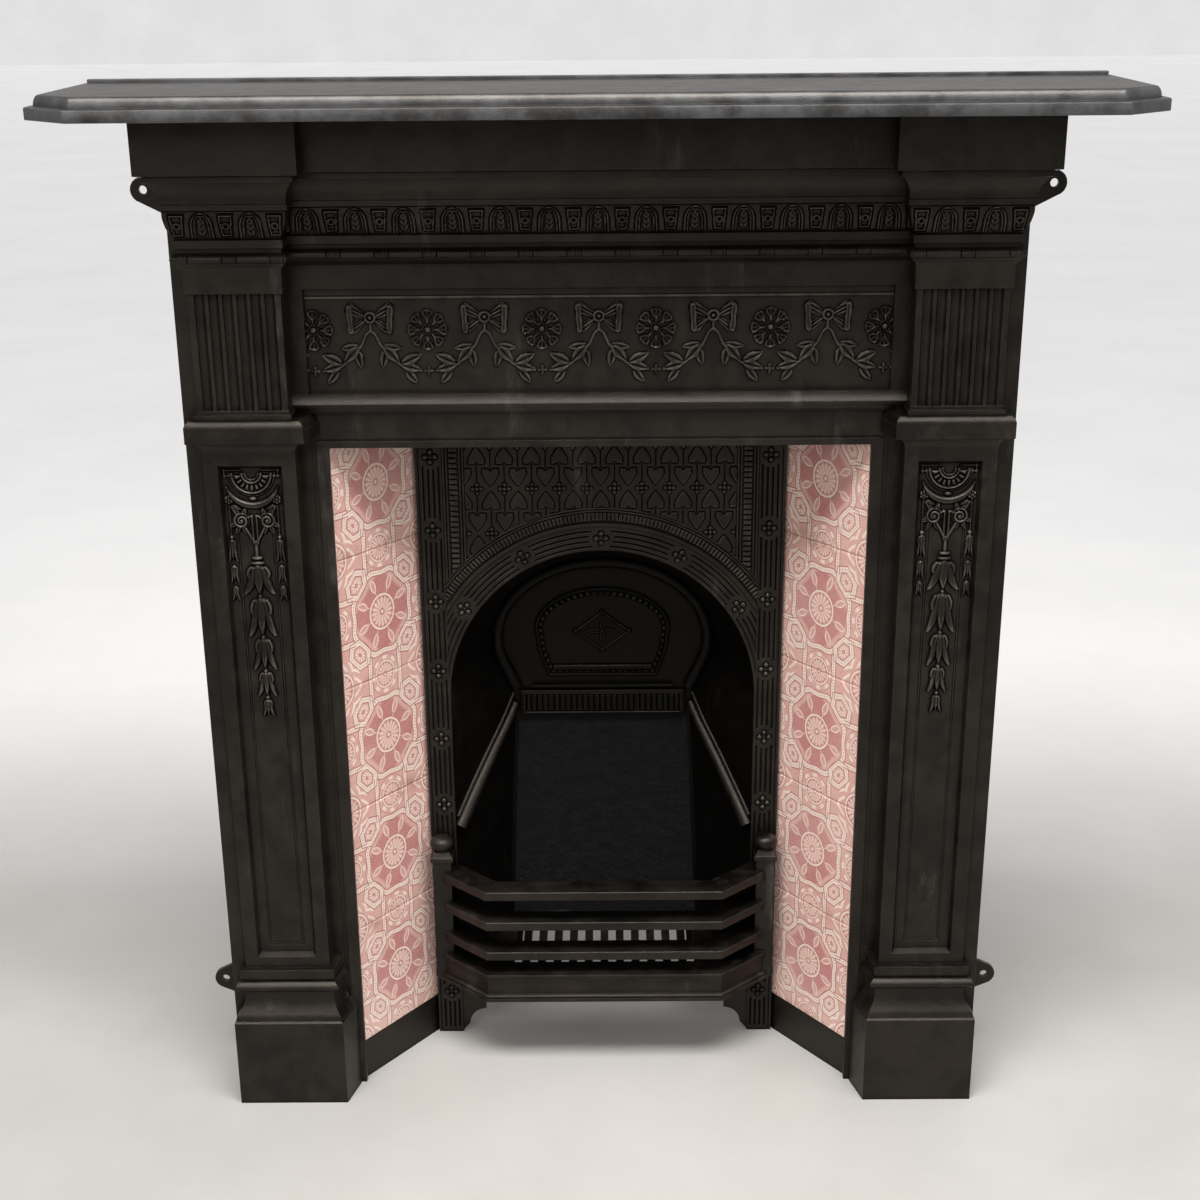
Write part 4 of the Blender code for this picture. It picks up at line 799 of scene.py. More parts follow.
def hood_ring(share, grow=0.0):
    """Half outline of the firebox at a share of its depth: (x, z) from the foot to the crown."""
    heights = [HOOD_BOTTOM + part * (BRICK_TOP - HOOD_BOTTOM) for part in (0, 0.34, 0.68, 1)]
    front = [(ARCH_RADIUS + 1 * MM, z) for z in heights + [WAIST_Z]]
    cheeks = (BRICK_FOOT_HALF + 2 * MM, BRICK_FOOT_HALF - 2 * MM, BRICK_FOOT_HALF - 7 * MM)
    back = list(zip(cheeks + (BRICK_TOP_HALF + 4 * MM, WAIST_HALF), heights + [WAIST_Z]))
    steps = 40
    for i in range(steps + 1):
        angle = math.radians(90 * i / steps)
        radius = ARCH_RADIUS + 1 * MM
        front.append((radius * math.cos(angle), ARCH_SPRING + radius * math.sin(angle)))
        start = math.radians(-12)
        turn = start + (math.radians(90) - start) * i / steps
        back.append(
            (HORSESHOE_HALF * math.cos(turn), HORSESHOE_Z + HORSESHOE_RISE * math.sin(turn))
        )
    ring = []
    for (fx, fz), (bx, bz) in zip(front, back):
        x = fx + (bx - fx) * share
        z = fz + (bz - fz) * share
        ring.append((x, z))
    if grow:
        ring = [(x + grow if x > 1e-6 else x, z) for x, z in ring]
        crown = ring[-1][1]
        ring = [(x, z + grow * max(0, (z - WAIST_Z) / (crown - WAIST_Z))) for x, z in ring]
    return ring


def hood_solid(name, start_y, end_y, grow, drop):
    """A loft from the arch at the front to the horseshoe at the back."""
    rings = []
    for y in (start_y, end_y):
        share = (y - PLATE_THICK) / (HOOD_DEPTH - PLATE_THICK)
        right = hood_ring(min(max(share, 0), 1), grow)
        foot_x, foot_z = right[0]
        right = [(foot_x, foot_z - drop)] + right[1:]
        outline = right + [(-x, z) for x, z in reversed(right) if x > 1e-6]
        rings.append([(x, y, z) for x, z in outline])
    return loft(name, rings)


def flap_outline(shrink=0.0):
    half = FLAP_HALF - shrink
    foot = FLAP_FOOT_HALF - shrink
    bottom = FLAP_BOTTOM + shrink
    head = []
    steps = 48
    for i in range(steps + 1):
        angle = math.pi * i / steps
        head.append((half * math.cos(angle), FLAP_Z + (FLAP_RISE - shrink) * math.sin(angle)))
    waist = (half - 4 * MM, FLAP_Z - 30 * MM)
    return [(foot, bottom), waist] + head + [(-waist[0], waist[1]), (-foot, bottom)]


def brick_mesh(name, clearance):
    """A tapering slab; the clearance makes the seat that holds it."""
    foot = HOOD_BOTTOM + IRON + SEAM - clearance
    top = BRICK_TOP + clearance
    front = HOOD_DEPTH + SEAM if clearance == 0 else HOOD_DEPTH - 2 * BITE
    back = HOOD_DEPTH + BRICK_THICK - SEAM + clearance
    low = BRICK_FOOT_HALF + clearance - 3 * MM
    high = BRICK_TOP_HALF + clearance
    outline = [(-low, foot), (low, foot), (high, top), (-high, top)]
    return relief(name, [outline], front, back)


def bar_plan(grow=0.0):
    """Plan of one canted bar: front edge out, back edge in."""
    front = BAR_FRONT_Y - grow
    corner = BAR_CORNER_X + grow * math.tan(math.pi / 8)
    end_y = front + (BAR_END_X - corner)
    back = BAR_FRONT_Y + BAR_DEPTH
    back_corner = BAR_CORNER_X - BAR_DEPTH * math.tan(math.pi / 8)
    near = -SEAM
    right = [
        (0, front),
        (corner, front),
        (BAR_END_X, end_y),
        (BAR_END_X, near),
        (back_corner + (near - back), near),
        (back_corner, back),
        (0, back),
    ]
    return mirrored_outline(right)


def graph_material(name):
    """A new material with its tree, its shader and an object-space coordinate in metres."""
    made = bpy.data.materials.new(name)
    made.use_nodes = True
    tree = made.node_tree
    shader = tree.nodes["Principled BSDF"]
    place = tree.nodes.new("ShaderNodeTexCoord").outputs["Object"]
    return made, tree, shader, place


def noise(tree, place, scale, detail=4.0, roughness=0.55, stretch=None):
    if stretch:
        mapping = tree.nodes.new("ShaderNodeMapping")
        mapping.inputs["Scale"].default_value = stretch
        tree.links.new(place, mapping.inputs["Vector"])
        place = mapping.outputs["Vector"]
    node = tree.nodes.new("ShaderNodeTexNoise")
    node.inputs["Scale"].default_value = scale
    node.inputs["Detail"].default_value = detail
    node.inputs["Roughness"].default_value = roughness
    tree.links.new(place, node.inputs["Vector"])
    return node.outputs["Fac"]


def math_node(tree, operation, a, b=None, c=None, clamp=False):
    node = tree.nodes.new("ShaderNodeMath")
    node.operation = operation
    node.use_clamp = clamp
    for socket, value in zip(node.inputs, (a, b, c)):
        if value is None:
            continue
        if isinstance(value, (int, float)):
            socket.default_value = value
        else:
            tree.links.new(value, socket)
    return node.outputs[0]


def ramp(tree, value, low, high, to_low=0.0, to_high=1.0):
    """Maps low..high of a value to a new range, smoothly and clamped."""
    node = tree.nodes.new("ShaderNodeMapRange")
    node.interpolation_type = "SMOOTHSTEP"
    for label, amount in (
        ("From Min", low), ("From Max", high), ("To Min", to_low), ("To Max", to_high),
    ):
        node.inputs[label].default_value = amount
    tree.links.new(value, node.inputs["Value"])
    return node.outputs["Result"]


def blend_color(tree, share, first, second):
    """Mixes two colours, each a tuple or a socket, by a share."""
    node = tree.nodes.new("ShaderNodeMix")
    node.data_type = "RGBA"
    tree.links.new(share, node.inputs[0])
    for socket, value in ((node.inputs[6], first), (node.inputs[7], second)):
        if isinstance(value, tuple):
            socket.default_value = (*value, 1)
        else:
            tree.links.new(value, socket)
    return node.outputs[2]


def bump(tree, shader, height, strength, distance, base=None):
    node = tree.nodes.new("ShaderNodeBump")
    node.inputs["Strength"].default_value = strength
    node.inputs["Distance"].default_value = distance
    tree.links.new(height, node.inputs["Height"])
    if base is not None:
        tree.links.new(base, node.inputs["Normal"])
    tree.links.new(node.outputs["Normal"], shader.inputs["Normal"])


def iron_material(name, deep, plain, light, gloss, shine=0.42, dust=0.45, top=0.0):
    """Cast iron under black polish: sand grain, dust, lighter arrises and crests for wear and painted
    highlight, painted shade in hollows.
    """
    made, tree, shader, place = graph_material(name)
    cloud = noise(tree, place, 7.0, 5.0, 0.6)
    patch = noise(tree, place, 38.0, 4.0, 0.65)
    grain = noise(tree, place, 620.0, 3.0, 0.7)
    mottle = math_node(tree, "MULTIPLY_ADD", patch, 0.45, math_node(tree, "MULTIPLY", cloud, 0.55))
    color = blend_color(tree, ramp(tree, mottle, 0.40, 0.60), deep, plain)
    rounding = tree.nodes.new("ShaderNodeBevel")
    rounding.samples = 2
    rounding.inputs["Radius"].default_value = 0.9 * MM
    geometry = tree.nodes.new("ShaderNodeNewGeometry")
    turned = tree.nodes.new("ShaderNodeVectorMath")
    turned.operation = "DOT_PRODUCT"
    tree.links.new(rounding.outputs["Normal"], turned.inputs[0])
    tree.links.new(geometry.outputs["Normal"], turned.inputs[1])
    edge = ramp(tree, turned.outputs["Value"], 0.995, 0.86)
    # Painted shade: an ambient occlusion node darkens corners and crevices.
    corner = tree.nodes.new("ShaderNodeAmbientOcclusion")
    corner.samples = 1
    corner.inputs["Distance"].default_value = 6 * MM
    crevice_shade = ramp(tree, corner.outputs["AO"], 0.80, 0.42)
    crest = tree.nodes.new("ShaderNodeAttribute")
    crest.attribute_name = "relief_shading_and_wear"
    crest_wear_and_highlight = ramp(tree, crest.outputs["Fac"], 0.25, 1.0)
    # Painted shade: hollows of the relief, and the crevices above, are darkened towards the deep
    # colour.
    sunk = ramp(tree, crest.outputs["Fac"], -0.05, -0.5)
    sunk = math_node(tree, "MAXIMUM", sunk, crevice_shade)
    # Arrises from the edge mask and raised crests are lightened for wear and a painted highlight.
    wear_and_highlight = math_node(tree, "MAXIMUM", math_node(tree, "MULTIPLY", edge, 0.6), crest_wear_and_highlight)
    wear_and_highlight = math_node(tree, "SUBTRACT", wear_and_highlight, crevice_shade, clamp=True)
    wear_and_highlight = math_node(tree, "MULTIPLY", wear_and_highlight, ramp(tree, patch, 0.3, 0.62, 0.25, 1.0))
    color = blend_color(tree, wear_and_highlight, color, light)
    color = blend_color(tree, math_node(tree, "MULTIPLY", sunk, 0.92), color, deep)
    scuff = noise(tree, place, 16.0, 8.0, 0.72, (1.0, 1.0, 0.28))
    scuff = ramp(tree, scuff, 0.57, 0.80, 0.0, dust)
    color = blend_color(tree, scuff, color, (0.13, 0.12, 0.11))
    # Painted shade: faces turned upwards are darkened towards the deep colour, by the top share.
    if top:
        facing = tree.nodes.new("ShaderNodeSeparateXYZ")
        tree.links.new(geometry.outputs["Normal"], facing.inputs[0])
        color = blend_color(tree, ramp(tree, facing.outputs[2], 0.6, 0.95, 0.0, top), color, deep)
    tree.links.new(color, shader.inputs["Base Color"])
    rough = math_node(tree, "MULTIPLY_ADD", patch, 0.26, gloss - 0.12)
    rough = math_node(tree, "MULTIPLY_ADD", wear_and_highlight, -0.09, rough)
    rough = math_node(tree, "MULTIPLY_ADD", sunk, 0.35, rough)
    rough = math_node(tree, "MULTIPLY_ADD", scuff, 0.4, rough, clamp=True)
    tree.links.new(rough, shader.inputs["Roughness"])
    shader.inputs["Metallic"].default_value = 0.25
    shader.inputs["Specular Tint"].default_value = (1.0, 0.90, 0.80, 1)
    # Painted shade also dims the specular level in hollows and crevices.
    level = ramp(tree, sunk, 0.0, 1.0, shine, shine * 0.25)
    tree.links.new(level, shader.inputs["Specular IOR Level"])
    height = math_node(tree, "MULTIPLY_ADD", patch, 1.6, grain)
    bump(tree, shader, height, 0.5, 0.00055, rounding.outputs["Normal"])
    return made


class Value:
    """A number on a surface, so that shader sums read like ordinary sums."""

    def __init__(self, tree, socket):
        self.tree = tree
        self.socket = socket

    def _do(self, operation, *others):
        sockets = [o.socket if isinstance(o, Value) else o for o in others]
        return Value(self.tree, math_node(self.tree, operation, self.socket, *sockets))

    def __add__(self, other):
        return self._do("ADD", other)

    def __sub__(self, other):
        return self._do("SUBTRACT", other)

    def __mul__(self, other):
        return self._do("MULTIPLY", other)

    def __truediv__(self, other):
        return self._do("DIVIDE", other)

    def size(self):
        return self._do("ABSOLUTE")

    def least(self, other):
        return self._do("MINIMUM", other)

    def most(self, other):
        return self._do("MAXIMUM", other)

    def cosine(self):
        return self._do("COSINE")

    def power(self, other):
        return self._do("POWER", other)

    def angle(self, other):
        """The bearing of the point (other, self)."""
        return self._do("ARCTAN2", other)

    def rise(self, low, high):
        return Value(self.tree, ramp(self.tree, self.socket, low, high))

    def band(self, middle, half, soft=0.45):
        """1 within half of middle, falling softly to 0."""
        return (self - middle).size().rise(half + soft, half - soft)


def far(a, b):
    """Distance from the origin of the point a, b."""
    return (a * a + b * b).power(0.5)


def turned(a, b, degrees):
    cos = math.cos(math.radians(degrees))
    sin = math.sin(math.radians(degrees))
    return a * cos + b * sin, b * cos - a * sin


def roundel(a, b, radius, spokes=16):
    """Cream and dark shares of a spoked wheel of that radius, in millimetres."""
    r = far(a, b)
    inner = radius * 0.80
    wave = (a.angle(b) * float(spokes)).cosine()
    spoke = (wave * 0.5 + 0.5).rise(0.62, 0.93)
    spoke = spoke * r.band(inner * 0.56, inner * 0.40)
    cream = spoke.most(r.band(radius * 0.945, radius * 0.062))
    cream = cream.most(r.band(0.0, radius * 0.09))
    gap = (wave * 0.5 + 0.5).rise(0.45, 0.12)
    dark = gap * r.band(inner * 1.0, radius * 0.045)
    dark = dark.most(r.band(radius * 0.87, radius * 0.02) * 0.7)
    dark = dark.most(r.band(radius * 1.035, radius * 0.022) * 0.7)
    dark = dark.most(r.band(radius * 0.16, radius * 0.04) * 0.8)
    disc = r.rise(radius * 1.0 + 0.4, radius * 1.0 - 0.4)
    return cream, dark, disc


def sprig(a, b, degrees, start, length, width):
    """Cream outline of a pointed leaf on a bearing from the centre, and its body."""
    along, across = turned(a, b, degrees)
    share = (along - start) / length
    swell = (share * (-1.0) + 1.0) * share * 4.0
    half = swell.most(0.0).power(0.8) * (width / 2)
    edge = half - across.size()
    inside = share.rise(0.0, 0.03) * share.rise(1.0, 0.97)
    line = edge.band(0.9, 0.75, 0.35) * inside
    body = edge.rise(0.0, 0.5) * inside
    stem = across.band(0.0, 0.45, 0.3) * (along - start + 5.0).band(2.5, 3.0)
    vein = across.band(0.0, 0.3, 0.3) * body
    return line.most(stem), body, vein


def strap(distance, half, along):
    """A cream strap with a dotted middle and dark edges, from a distance to its middle line."""
    body = distance.size().rise(half + 0.3, half - 0.3)
    edges = distance.size().band(half + 0.7, 0.55, 0.35)
    dots = distance.size().rise(1.35, 0.55) * (along * 1.75).cosine().rise(0.15, 0.75)
    return body, edges.most(dots * 0.75)


def tile_material():
    """Printed earthenware: rose on cream, spoked wheels in stars, straps and sprigs, glazed."""
    made, tree, shader, place = graph_material("rose_print")
    where = tree.nodes.new("ShaderNodeUVMap")
    where.uv_map = "face"
    split = tree.nodes.new("ShaderNodeSeparateXYZ")
    tree.links.new(where.outputs["UV"], split.inputs[0])
    side = 152.4
    u = (Value(tree, split.outputs[0]) - 0.5) * side
    v = (Value(tree, split.outputs[1]) - 0.5) * side
    drift = Value(tree, noise(tree, place, 85.0, 2.0)) - 0.5
    sway = Value(tree, noise(tree, place, 110.0, 2.0, 0.5, (1.0, 1.3, 0.8))) - 0.5
    u = u + drift * 1.3
    v = v + sway * 1.3
    a = u.size()
    b = v.size()
    m = a.most(b)
    n = a.least(b)
    r = far(u, v)
    bearing = u.angle(v)
    eight = (bearing * 8.0).cosine()
    star = r * (eight * 0.045 + 1.0)
    four = (bearing * 4.0).cosine()
    deep = (r * (four * -0.10 + 1.0)).rise(44.0, 38.5)
    cream = star * 0.0
    dark = star * 0.0
    lozenge_a, lozenge_b = turned(m - 41.5, n - 41.5, 45)
    frame_gap = (lozenge_a.size() * 1.25).most(lozenge_a.size() * 0.55 + lozenge_b.size() * 0.80)
    body, lines = strap(frame_gap - 14.0, 3.0, lozenge_b + lozenge_a)
    deep = deep * frame_gap.rise(16.8, 17.4)
    cream = cream.most(body)
    dark = dark.most(lines)
    flower = far(lozenge_a * 1.45, lozenge_b)
    petal = ((lozenge_a * 1.45).angle(lozenge_b) * 10.0).cosine()
    daisy = flower.band(6.2, 3.0) * petal.rise(-0.35, 0.25)
    cream = cream.most(daisy)
    dark = dark.most(flower.band(2.0, 0.8) * 0.8)
    dark = dark.most(frame_gap.band(10.2, 0.5, 0.3) * 0.8)
    body, lines = strap(star - 49.0, 2.9, bearing * 44.0)
    keep = frame_gap.rise(16.2, 17.0)
    cream = cream.most(body * keep)
    dark = dark.most(lines * keep)
    beyond = m.rise(47.0, 49.0)
    body, lines = strap(n - 25.5, 2.9, m)
    cream = cream.most(body * beyond)
    dark = dark.most(lines * beyond)
    edge_a = m - side / 2
    small_cream, small_dark, small_disc = roundel(edge_a, n, 16.5)
    burst = far(edge_a, n)
    rays = ((edge_a.angle(n)) * 8.0).cosine()
    tongues = burst.band(20.4, 2.3) * rays.rise(-0.1, 0.35)
    cream = cream.most(tongues * 0.9)
    dark = dark.most(burst.band(23.9, 0.5, 0.35) * 0.6)
    corner_a = m - side / 2
    corner_b = n - side / 2
    big_cream, big_dark, big_disc = roundel(corner_a, corner_b, 21.5)
    out = far(corner_a, corner_b)
    swirl = (corner_a.angle(corner_b) * 12.0 + out * 0.55).cosine()
    scroll = out.band(30.0, 5.4) * swirl.rise(0.2, 0.62) * frame_gap.rise(16.6, 17.4)
    cream = cream.most(scroll)
    leaves = star * 0.0
    fills = star * 0.0
    veins = star * 0.0
    for degrees in (22.5, 67.5):
        line, leaf_body, vein = sprig(a, b, degrees, 26.0, 18.5, 9.4)
        leaves = leaves.most(line)
        fills = fills.most(leaf_body)
        veins = veins.most(vein)
    deep = deep * (fills * -0.85 + 1.0)
    cream = cream.most(leaves)
    dark = dark.most(veins * 0.5)
    wheel_cream, wheel_dark, wheel_disc = roundel(u, v, 21.5)
    for one, two, three in (
        (small_cream, small_dark, small_disc),
        (big_cream, big_dark, big_disc),
        (wheel_cream, wheel_dark, wheel_disc),
    ):
        clear = three * -1.0 + 1.0
        cream = (cream * clear).most(one)
        dark = (dark * clear).most(two)
        deep = deep * clear
    stipple = noise(tree, place, 1500.0, 2.0, 0.6)
    speck = Value(tree, stipple).rise(0.46, 0.6)
    ground = blend_color(tree, speck.socket, (0.60, 0.315, 0.275), (0.74, 0.50, 0.44))
    rose = blend_color(tree, speck.socket, (0.43, 0.150, 0.145), (0.60, 0.30, 0.275))
    color = blend_color(tree, (deep * 0.95).socket, ground, rose)
    color = blend_color(tree, (cream * 0.93).socket, color, (0.82, 0.69, 0.60))
    color = blend_color(tree, (dark * 0.92).socket, color, (0.34, 0.105, 0.10))
    wash = Value(tree, noise(tree, place, 9.0, 4.0, 0.6)).rise(0.35, 0.75)
    color = blend_color(tree, (wash * 0.22).socket, color, (0.80, 0.62, 0.55))
    seam = (Value(tree, split.outputs[1]) - 0.5).size().rise(0.40, 0.5)
    blot = Value(tree, noise(tree, place, 13.0, 6.0, 0.68)).rise(0.50, 0.74)
    stain = (seam * blot * 0.8).most(blot.rise(0.75, 1.0) * 0.2)
    color = blend_color(tree, stain.socket, color, (0.30, 0.155, 0.085))
    tree.links.new(color, shader.inputs["Base Color"])
    rough = Value(tree, noise(tree, place, 45.0, 3.0)) * 0.12 + 0.16
    tree.links.new(rough.socket, shader.inputs["Roughness"])
    shader.inputs["Coat Weight"].default_value = 0.35
    shader.inputs["Coat Roughness"].default_value = 0.08
    ripple = noise(tree, place, 26.0, 2.0)
    bump(tree, shader, ripple, 0.25, 0.0012)
    return made


def brick_material():
    made, tree, shader, place = graph_material("sooty_brick")
    coarse = noise(tree, place, 55.0, 8.0, 0.72)
    fine = noise(tree, place, 330.0, 3.0, 0.75)
    speck = math_node(tree, "MULTIPLY_ADD", fine, 0.6, math_node(tree, "MULTIPLY", coarse, 0.4))
    share = ramp(tree, speck, 0.38, 0.62)
    color = blend_color(tree, share, (0.0008, 0.0008, 0.0008), (0.0085, 0.0085, 0.0090))
    tree.links.new(color, shader.inputs["Base Color"])
    tree.links.new(ramp(tree, fine, 0.3, 0.7, 0.7, 0.95), shader.inputs["Roughness"])
    shader.inputs["Specular IOR Level"].default_value = 0.22
    pits = math_node(tree, "MULTIPLY_ADD", coarse, 2.0, fine)
    bump(tree, shader, pits, 1.0, 0.0032)
    return made


def shelf_casting(metal):
    levels = [(SHELF_BOTTOM, 0.8 * MM), (SHELF_BOTTOM + 0.4 * MM, 0.2 * MM), (SHELF_BOTTOM + 1 * MM, 0)]
    band_top = SHELF_BOTTOM + SHELF_BAND
    levels += [(band_top - 1.6 * MM, 0), (band_top - 0.5 * MM, 0.5 * MM), (band_top, 1.6 * MM)]
    levels += [(band_top + 0.1 * MM, SHELF_STEP - 1 * MM), (band_top + 0.6 * MM, SHELF_STEP)]
    rise = SHELF_TOP - band_top
    for i in range(9):
        turn = math.pi / 2 * i / 8
        z = band_top + 1.2 * MM + (rise - 1.2 * MM) * math.sin(turn)
        levels.append((z, SHELF_STEP + 6 * MM * (1 - math.cos(turn))))
    mesh = stack("shelf_casting", [(z, shelf_outline(inset)) for z, inset in levels])
    back = WALL_Y - UPSTAND_WIDTH
    reach = SHELF_HALF - SHELF_STEP - 8 * MM
    upstand_plan = [(-reach, back), (reach, back), (reach, WALL_Y), (-reach, WALL_Y)]
    upstand = rounded_prism(
        "upstand", upstand_plan, SHELF_TOP - 2 * BITE, SHELF_TOP + UPSTAND_HEIGHT, 1 * MM
    )
    inside = [(x, min(y, WALL_Y - SHELF_RIM)) for x, y in shelf_outline(SHELF_RIM)]
    hollow = upright("underside", inside, SHELF_BOTTOM - BITE, SURROUND_TOP + SEAM)
    seat_half = BLOCK_OUTER_X + FASCIA_STEP + 1 * MM
    seat = box_mesh(
        "seat",
        (-seat_half, WALL_Y - SHELF_RIM - BITE, SHELF_BOTTOM - 2 * BITE),
        (seat_half, WALL_Y + BITE, SURROUND_TOP + SEAM),
    )
    done = carved(
        "shelf", mesh, [("UNION", upstand), ("DIFFERENCE", hollow), ("DIFFERENCE", seat)]
    )
    add_piece("shelf_casting", done, metal, ["mantelshelf"])


def surround_casting(iron):
    reach = WALL_Y + 2 * MM
    opening = box_mesh(
        "cut_opening",
        (-OPENING_HALF, FRAME_Y - 60 * MM, -BITE),
        (OPENING_HALF, reach, OPENING_TOP),
    )
    corners = [
        (-FRIEZE_HALF, FRIEZE_BOTTOM),
        (FRIEZE_HALF, FRIEZE_BOTTOM),
        (FRIEZE_HALF, FRIEZE_TOP),
        (-FRIEZE_HALF, FRIEZE_TOP),
    ]
    field = relief("cut_field", [corners], FRIEZE_Y - 12 * MM, FRIEZE_Y + FRIEZE_DEPTH)
    steps = [
        ("DIFFERENCE", opening),
        ("DIFFERENCE", middle_hollow()),
        ("DIFFERENCE", pier_hollow()),
        ("DIFFERENCE", panel_cutter()),
        ("DIFFERENCE", flute_cutter()),
        ("DIFFERENCE", field),
        ("DIFFERENCE", frame_groove()),
        ("DIFFERENCE", panel_lines()),
    ]
    for side in (1, -1):
        steps.append(("UNION", lug(f"top_lug_{side}", TOP_LUG, side)))
        steps.append(("UNION", lug(f"low_lug_{side}", LOW_LUG, side)))
    done = carved("surround", surround_body(), steps)
    add_piece("surround_casting", done, iron, ["surround"])


def panel_lines():
    """The double line that frames each shaft's sunk field."""
    outlines = []
    for side in (1, -1):
        for near, far in ((10 * MM, 11 * MM), (12.4 * MM, 13.4 * MM)):
            for share in (near, far):
                edge = PANEL_MARGIN + 3.5 * MM + share
                low = PANEL_BOTTOM + 3.5 * MM + share
                high = PANEL_TOP - 3.5 * MM - share
                left = side * (SHAFT_INNER_X + edge)
                right = side * (SHAFT_OUTER_X - edge)
                outlines.append([(left, low), (right, low), (right, high), (left, high)])
    floor = SHAFT_Y + PANEL_DEPTH
    return relief("cut_panel_lines", outlines, floor - BITE, floor + 0.8 * MM)


def insert_casting(iron):
    """The arch plate's body and trays. Its carved face is laid on as separate slabs."""
    plan = [(x, y + 1.5 * MM if abs(y) < 1e-9 else y) for x, y in insert_section()]
    mesh = upright("insert", plan, 0, PLATE_TOP)
    steps = []
    for label, side in (("left", -1), ("right", 1)):
        foot = [(side * x, y) for x, y in kerb_plan()]
        steps.append(("UNION", upright("kerb_" + label, foot, 0, KERB_HEIGHT)))
    steps.append(
        ("DIFFERENCE", relief("cut_arch", [opening_outline()], -BITE, PLATE_THICK + BITE))
    )
    done = carved("insert", mesh, steps)
    add_piece("insert_casting", done, iron, ["insert_front"])


def tile_pieces(glaze):
    """Ten pressed tiles with softly rounded faces. The pattern follows each tile's own map."""
    corner, along, normal = splay()
    bow = 1.1 * MM
    inner = np.linspace(0.02, 0.98, 24)
    shares = np.concatenate([[0, 0.004, 0.010], inner, [0.99, 0.996, 1]])
    u, v = np.meshgrid(shares, shares, indexing="ij")
    drop = np.zeros_like(u)
    for edge in (u, 1 - u, v, 1 - v):
        gap = np.clip(1 - edge * TILE / (1.6 * MM), 0, 1)
        drop += bow * (1 - np.sqrt(np.clip(1 - gap**2, 0, 1)))
    drop = np.minimum(drop, 2 * bow)
    for label, side in (("left", -1), ("right", 1)):
        for i in range(TILES_A_SIDE):
            bottom = KERB_HEIGHT + SEAM + i * (TILE + TILE_JOINT)
            x = side * (corner.x + along.x * u * TILE + normal.x * drop)
            y = corner.y + along.y * u * TILE + normal.y * drop
            name = f"glazed_tile_{label}_{i + 1}"
            piece = tile_piece(name, x, y, bottom + v * TILE, u, v, side, glaze)
            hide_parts(f"tile_{label}_{i + 1}")


def tile_piece(name, x, y, z, u, v, side, glaze):
    corner, along, normal = splay()
    front, _, border, rim, faces = grid_parts(x, y, z)
    rear = front[border].copy()
    shares = u.reshape(-1)[border]
    rear[:, 0] = side * (corner.x + along.x * shares * TILE + normal.x * TILE_THICK)
    rear[:, 1] = corner.y + along.y * shares * TILE + normal.y * TILE_THICK
    mesh = closed_mesh(name, np.concatenate([front, rear]), faces + [rim.tolist()])
    flat_u = side * (np.concatenate([u.reshape(-1), shares]) - 0.5) + 0.5
    flat_v = np.concatenate([v.reshape(-1), v.reshape(-1)[border]])
    layer = mesh.uv_layers.new(name="face")
    for loop in mesh.loops:
        layer.uv[loop.index].vector = (flat_u[loop.vertex_index], flat_v[loop.vertex_index])
    return add_piece(name, mesh, glaze, smooth=50)


def fireback_casting(iron):
    shell_start = PLATE_THICK + SEAM
    outer = hood_solid("outer", shell_start, HOOD_DEPTH + BACK_THICK, IRON, 0)
    rear = box_mesh(
        "case",
        (-BRICK_FOOT_HALF - IRON, HOOD_DEPTH - 10 * MM, HOOD_BOTTOM),
        (BRICK_FOOT_HALF + IRON, FIREBACK_REAR, BRICK_TOP + 11 * MM),
    )
    floor = HOOD_BOTTOM + IRON
    inner = hood_solid("inner", shell_start - BITE, HOOD_DEPTH, 0, -IRON)
    ash = box_mesh(
        "ash",
        (-BRICK_TOP_HALF, 0, HOOD_BOTTOM - BITE),
        (BRICK_TOP_HALF, HOOD_DEPTH - 20 * MM, floor + BITE),
    )
    seat = relief("seat", [flap_outline(-SEAM)], HOOD_DEPTH - BITE, HOOD_DEPTH + FLAP_SEAT)
    flue = relief(
        "flue",
        [flap_outline(FLUE_LAP)],
        HOOD_DEPTH + FLAP_SEAT - BITE,
        HOOD_DEPTH + BACK_THICK + BITE,
    )
    steps = [
        ("UNION", rear),
        ("DIFFERENCE", inner),
        ("DIFFERENCE", ash),
        ("DIFFERENCE", brick_mesh("brick_seat", SEAM)),
        ("DIFFERENCE", seat),
        ("DIFFERENCE", flue),
    ]
    half = FLAP_HALF + 4 * MM
    ledge_plan = [(-half, HOOD_DEPTH - 7 * MM), (half, HOOD_DEPTH - 7 * MM)]
    ledge_plan += [(half, HOOD_DEPTH + BITE), (-half, HOOD_DEPTH + BITE)]
    ledge = rounded_prism("ledge", ledge_plan, WAIST_Z + 3 * MM, WAIST_Z + 7 * MM, 1.2 * MM)
    steps.append(("UNION", ledge))
    done = carved("fireback", outer, steps)
    add_piece("fireback_casting", done, iron, ["fireback"])


def rail_levels():
    """Bottom rail: a bead and a fillet below, a flat, three fillets on top."""
    rows = [
        (0, 3), (0.3, 3.6), (1, 4), (4, 4), (5, 3.7), (5.6, 2.6), (5.9, 1.6),
        (6.1, 3.0), (6.8, 3.7), (7.6, 4), (8.4, 3.7), (9.2, 2.8), (9.8, 1.0), (10.2, 0),
        (26.8, 0), (27.2, 1.0), (29.2, 1.2), (29.6, 0.4), (30.0, 1.6), (32.0, 1.9),
        (32.4, 1.0), (32.9, 2.3), (36.2, 2.5), (36.8, 2.2), (37, 1.6),
    ]
    return [(RAIL_BOTTOM + z * MM, bar_plan(grow * MM)) for z, grow in rows]


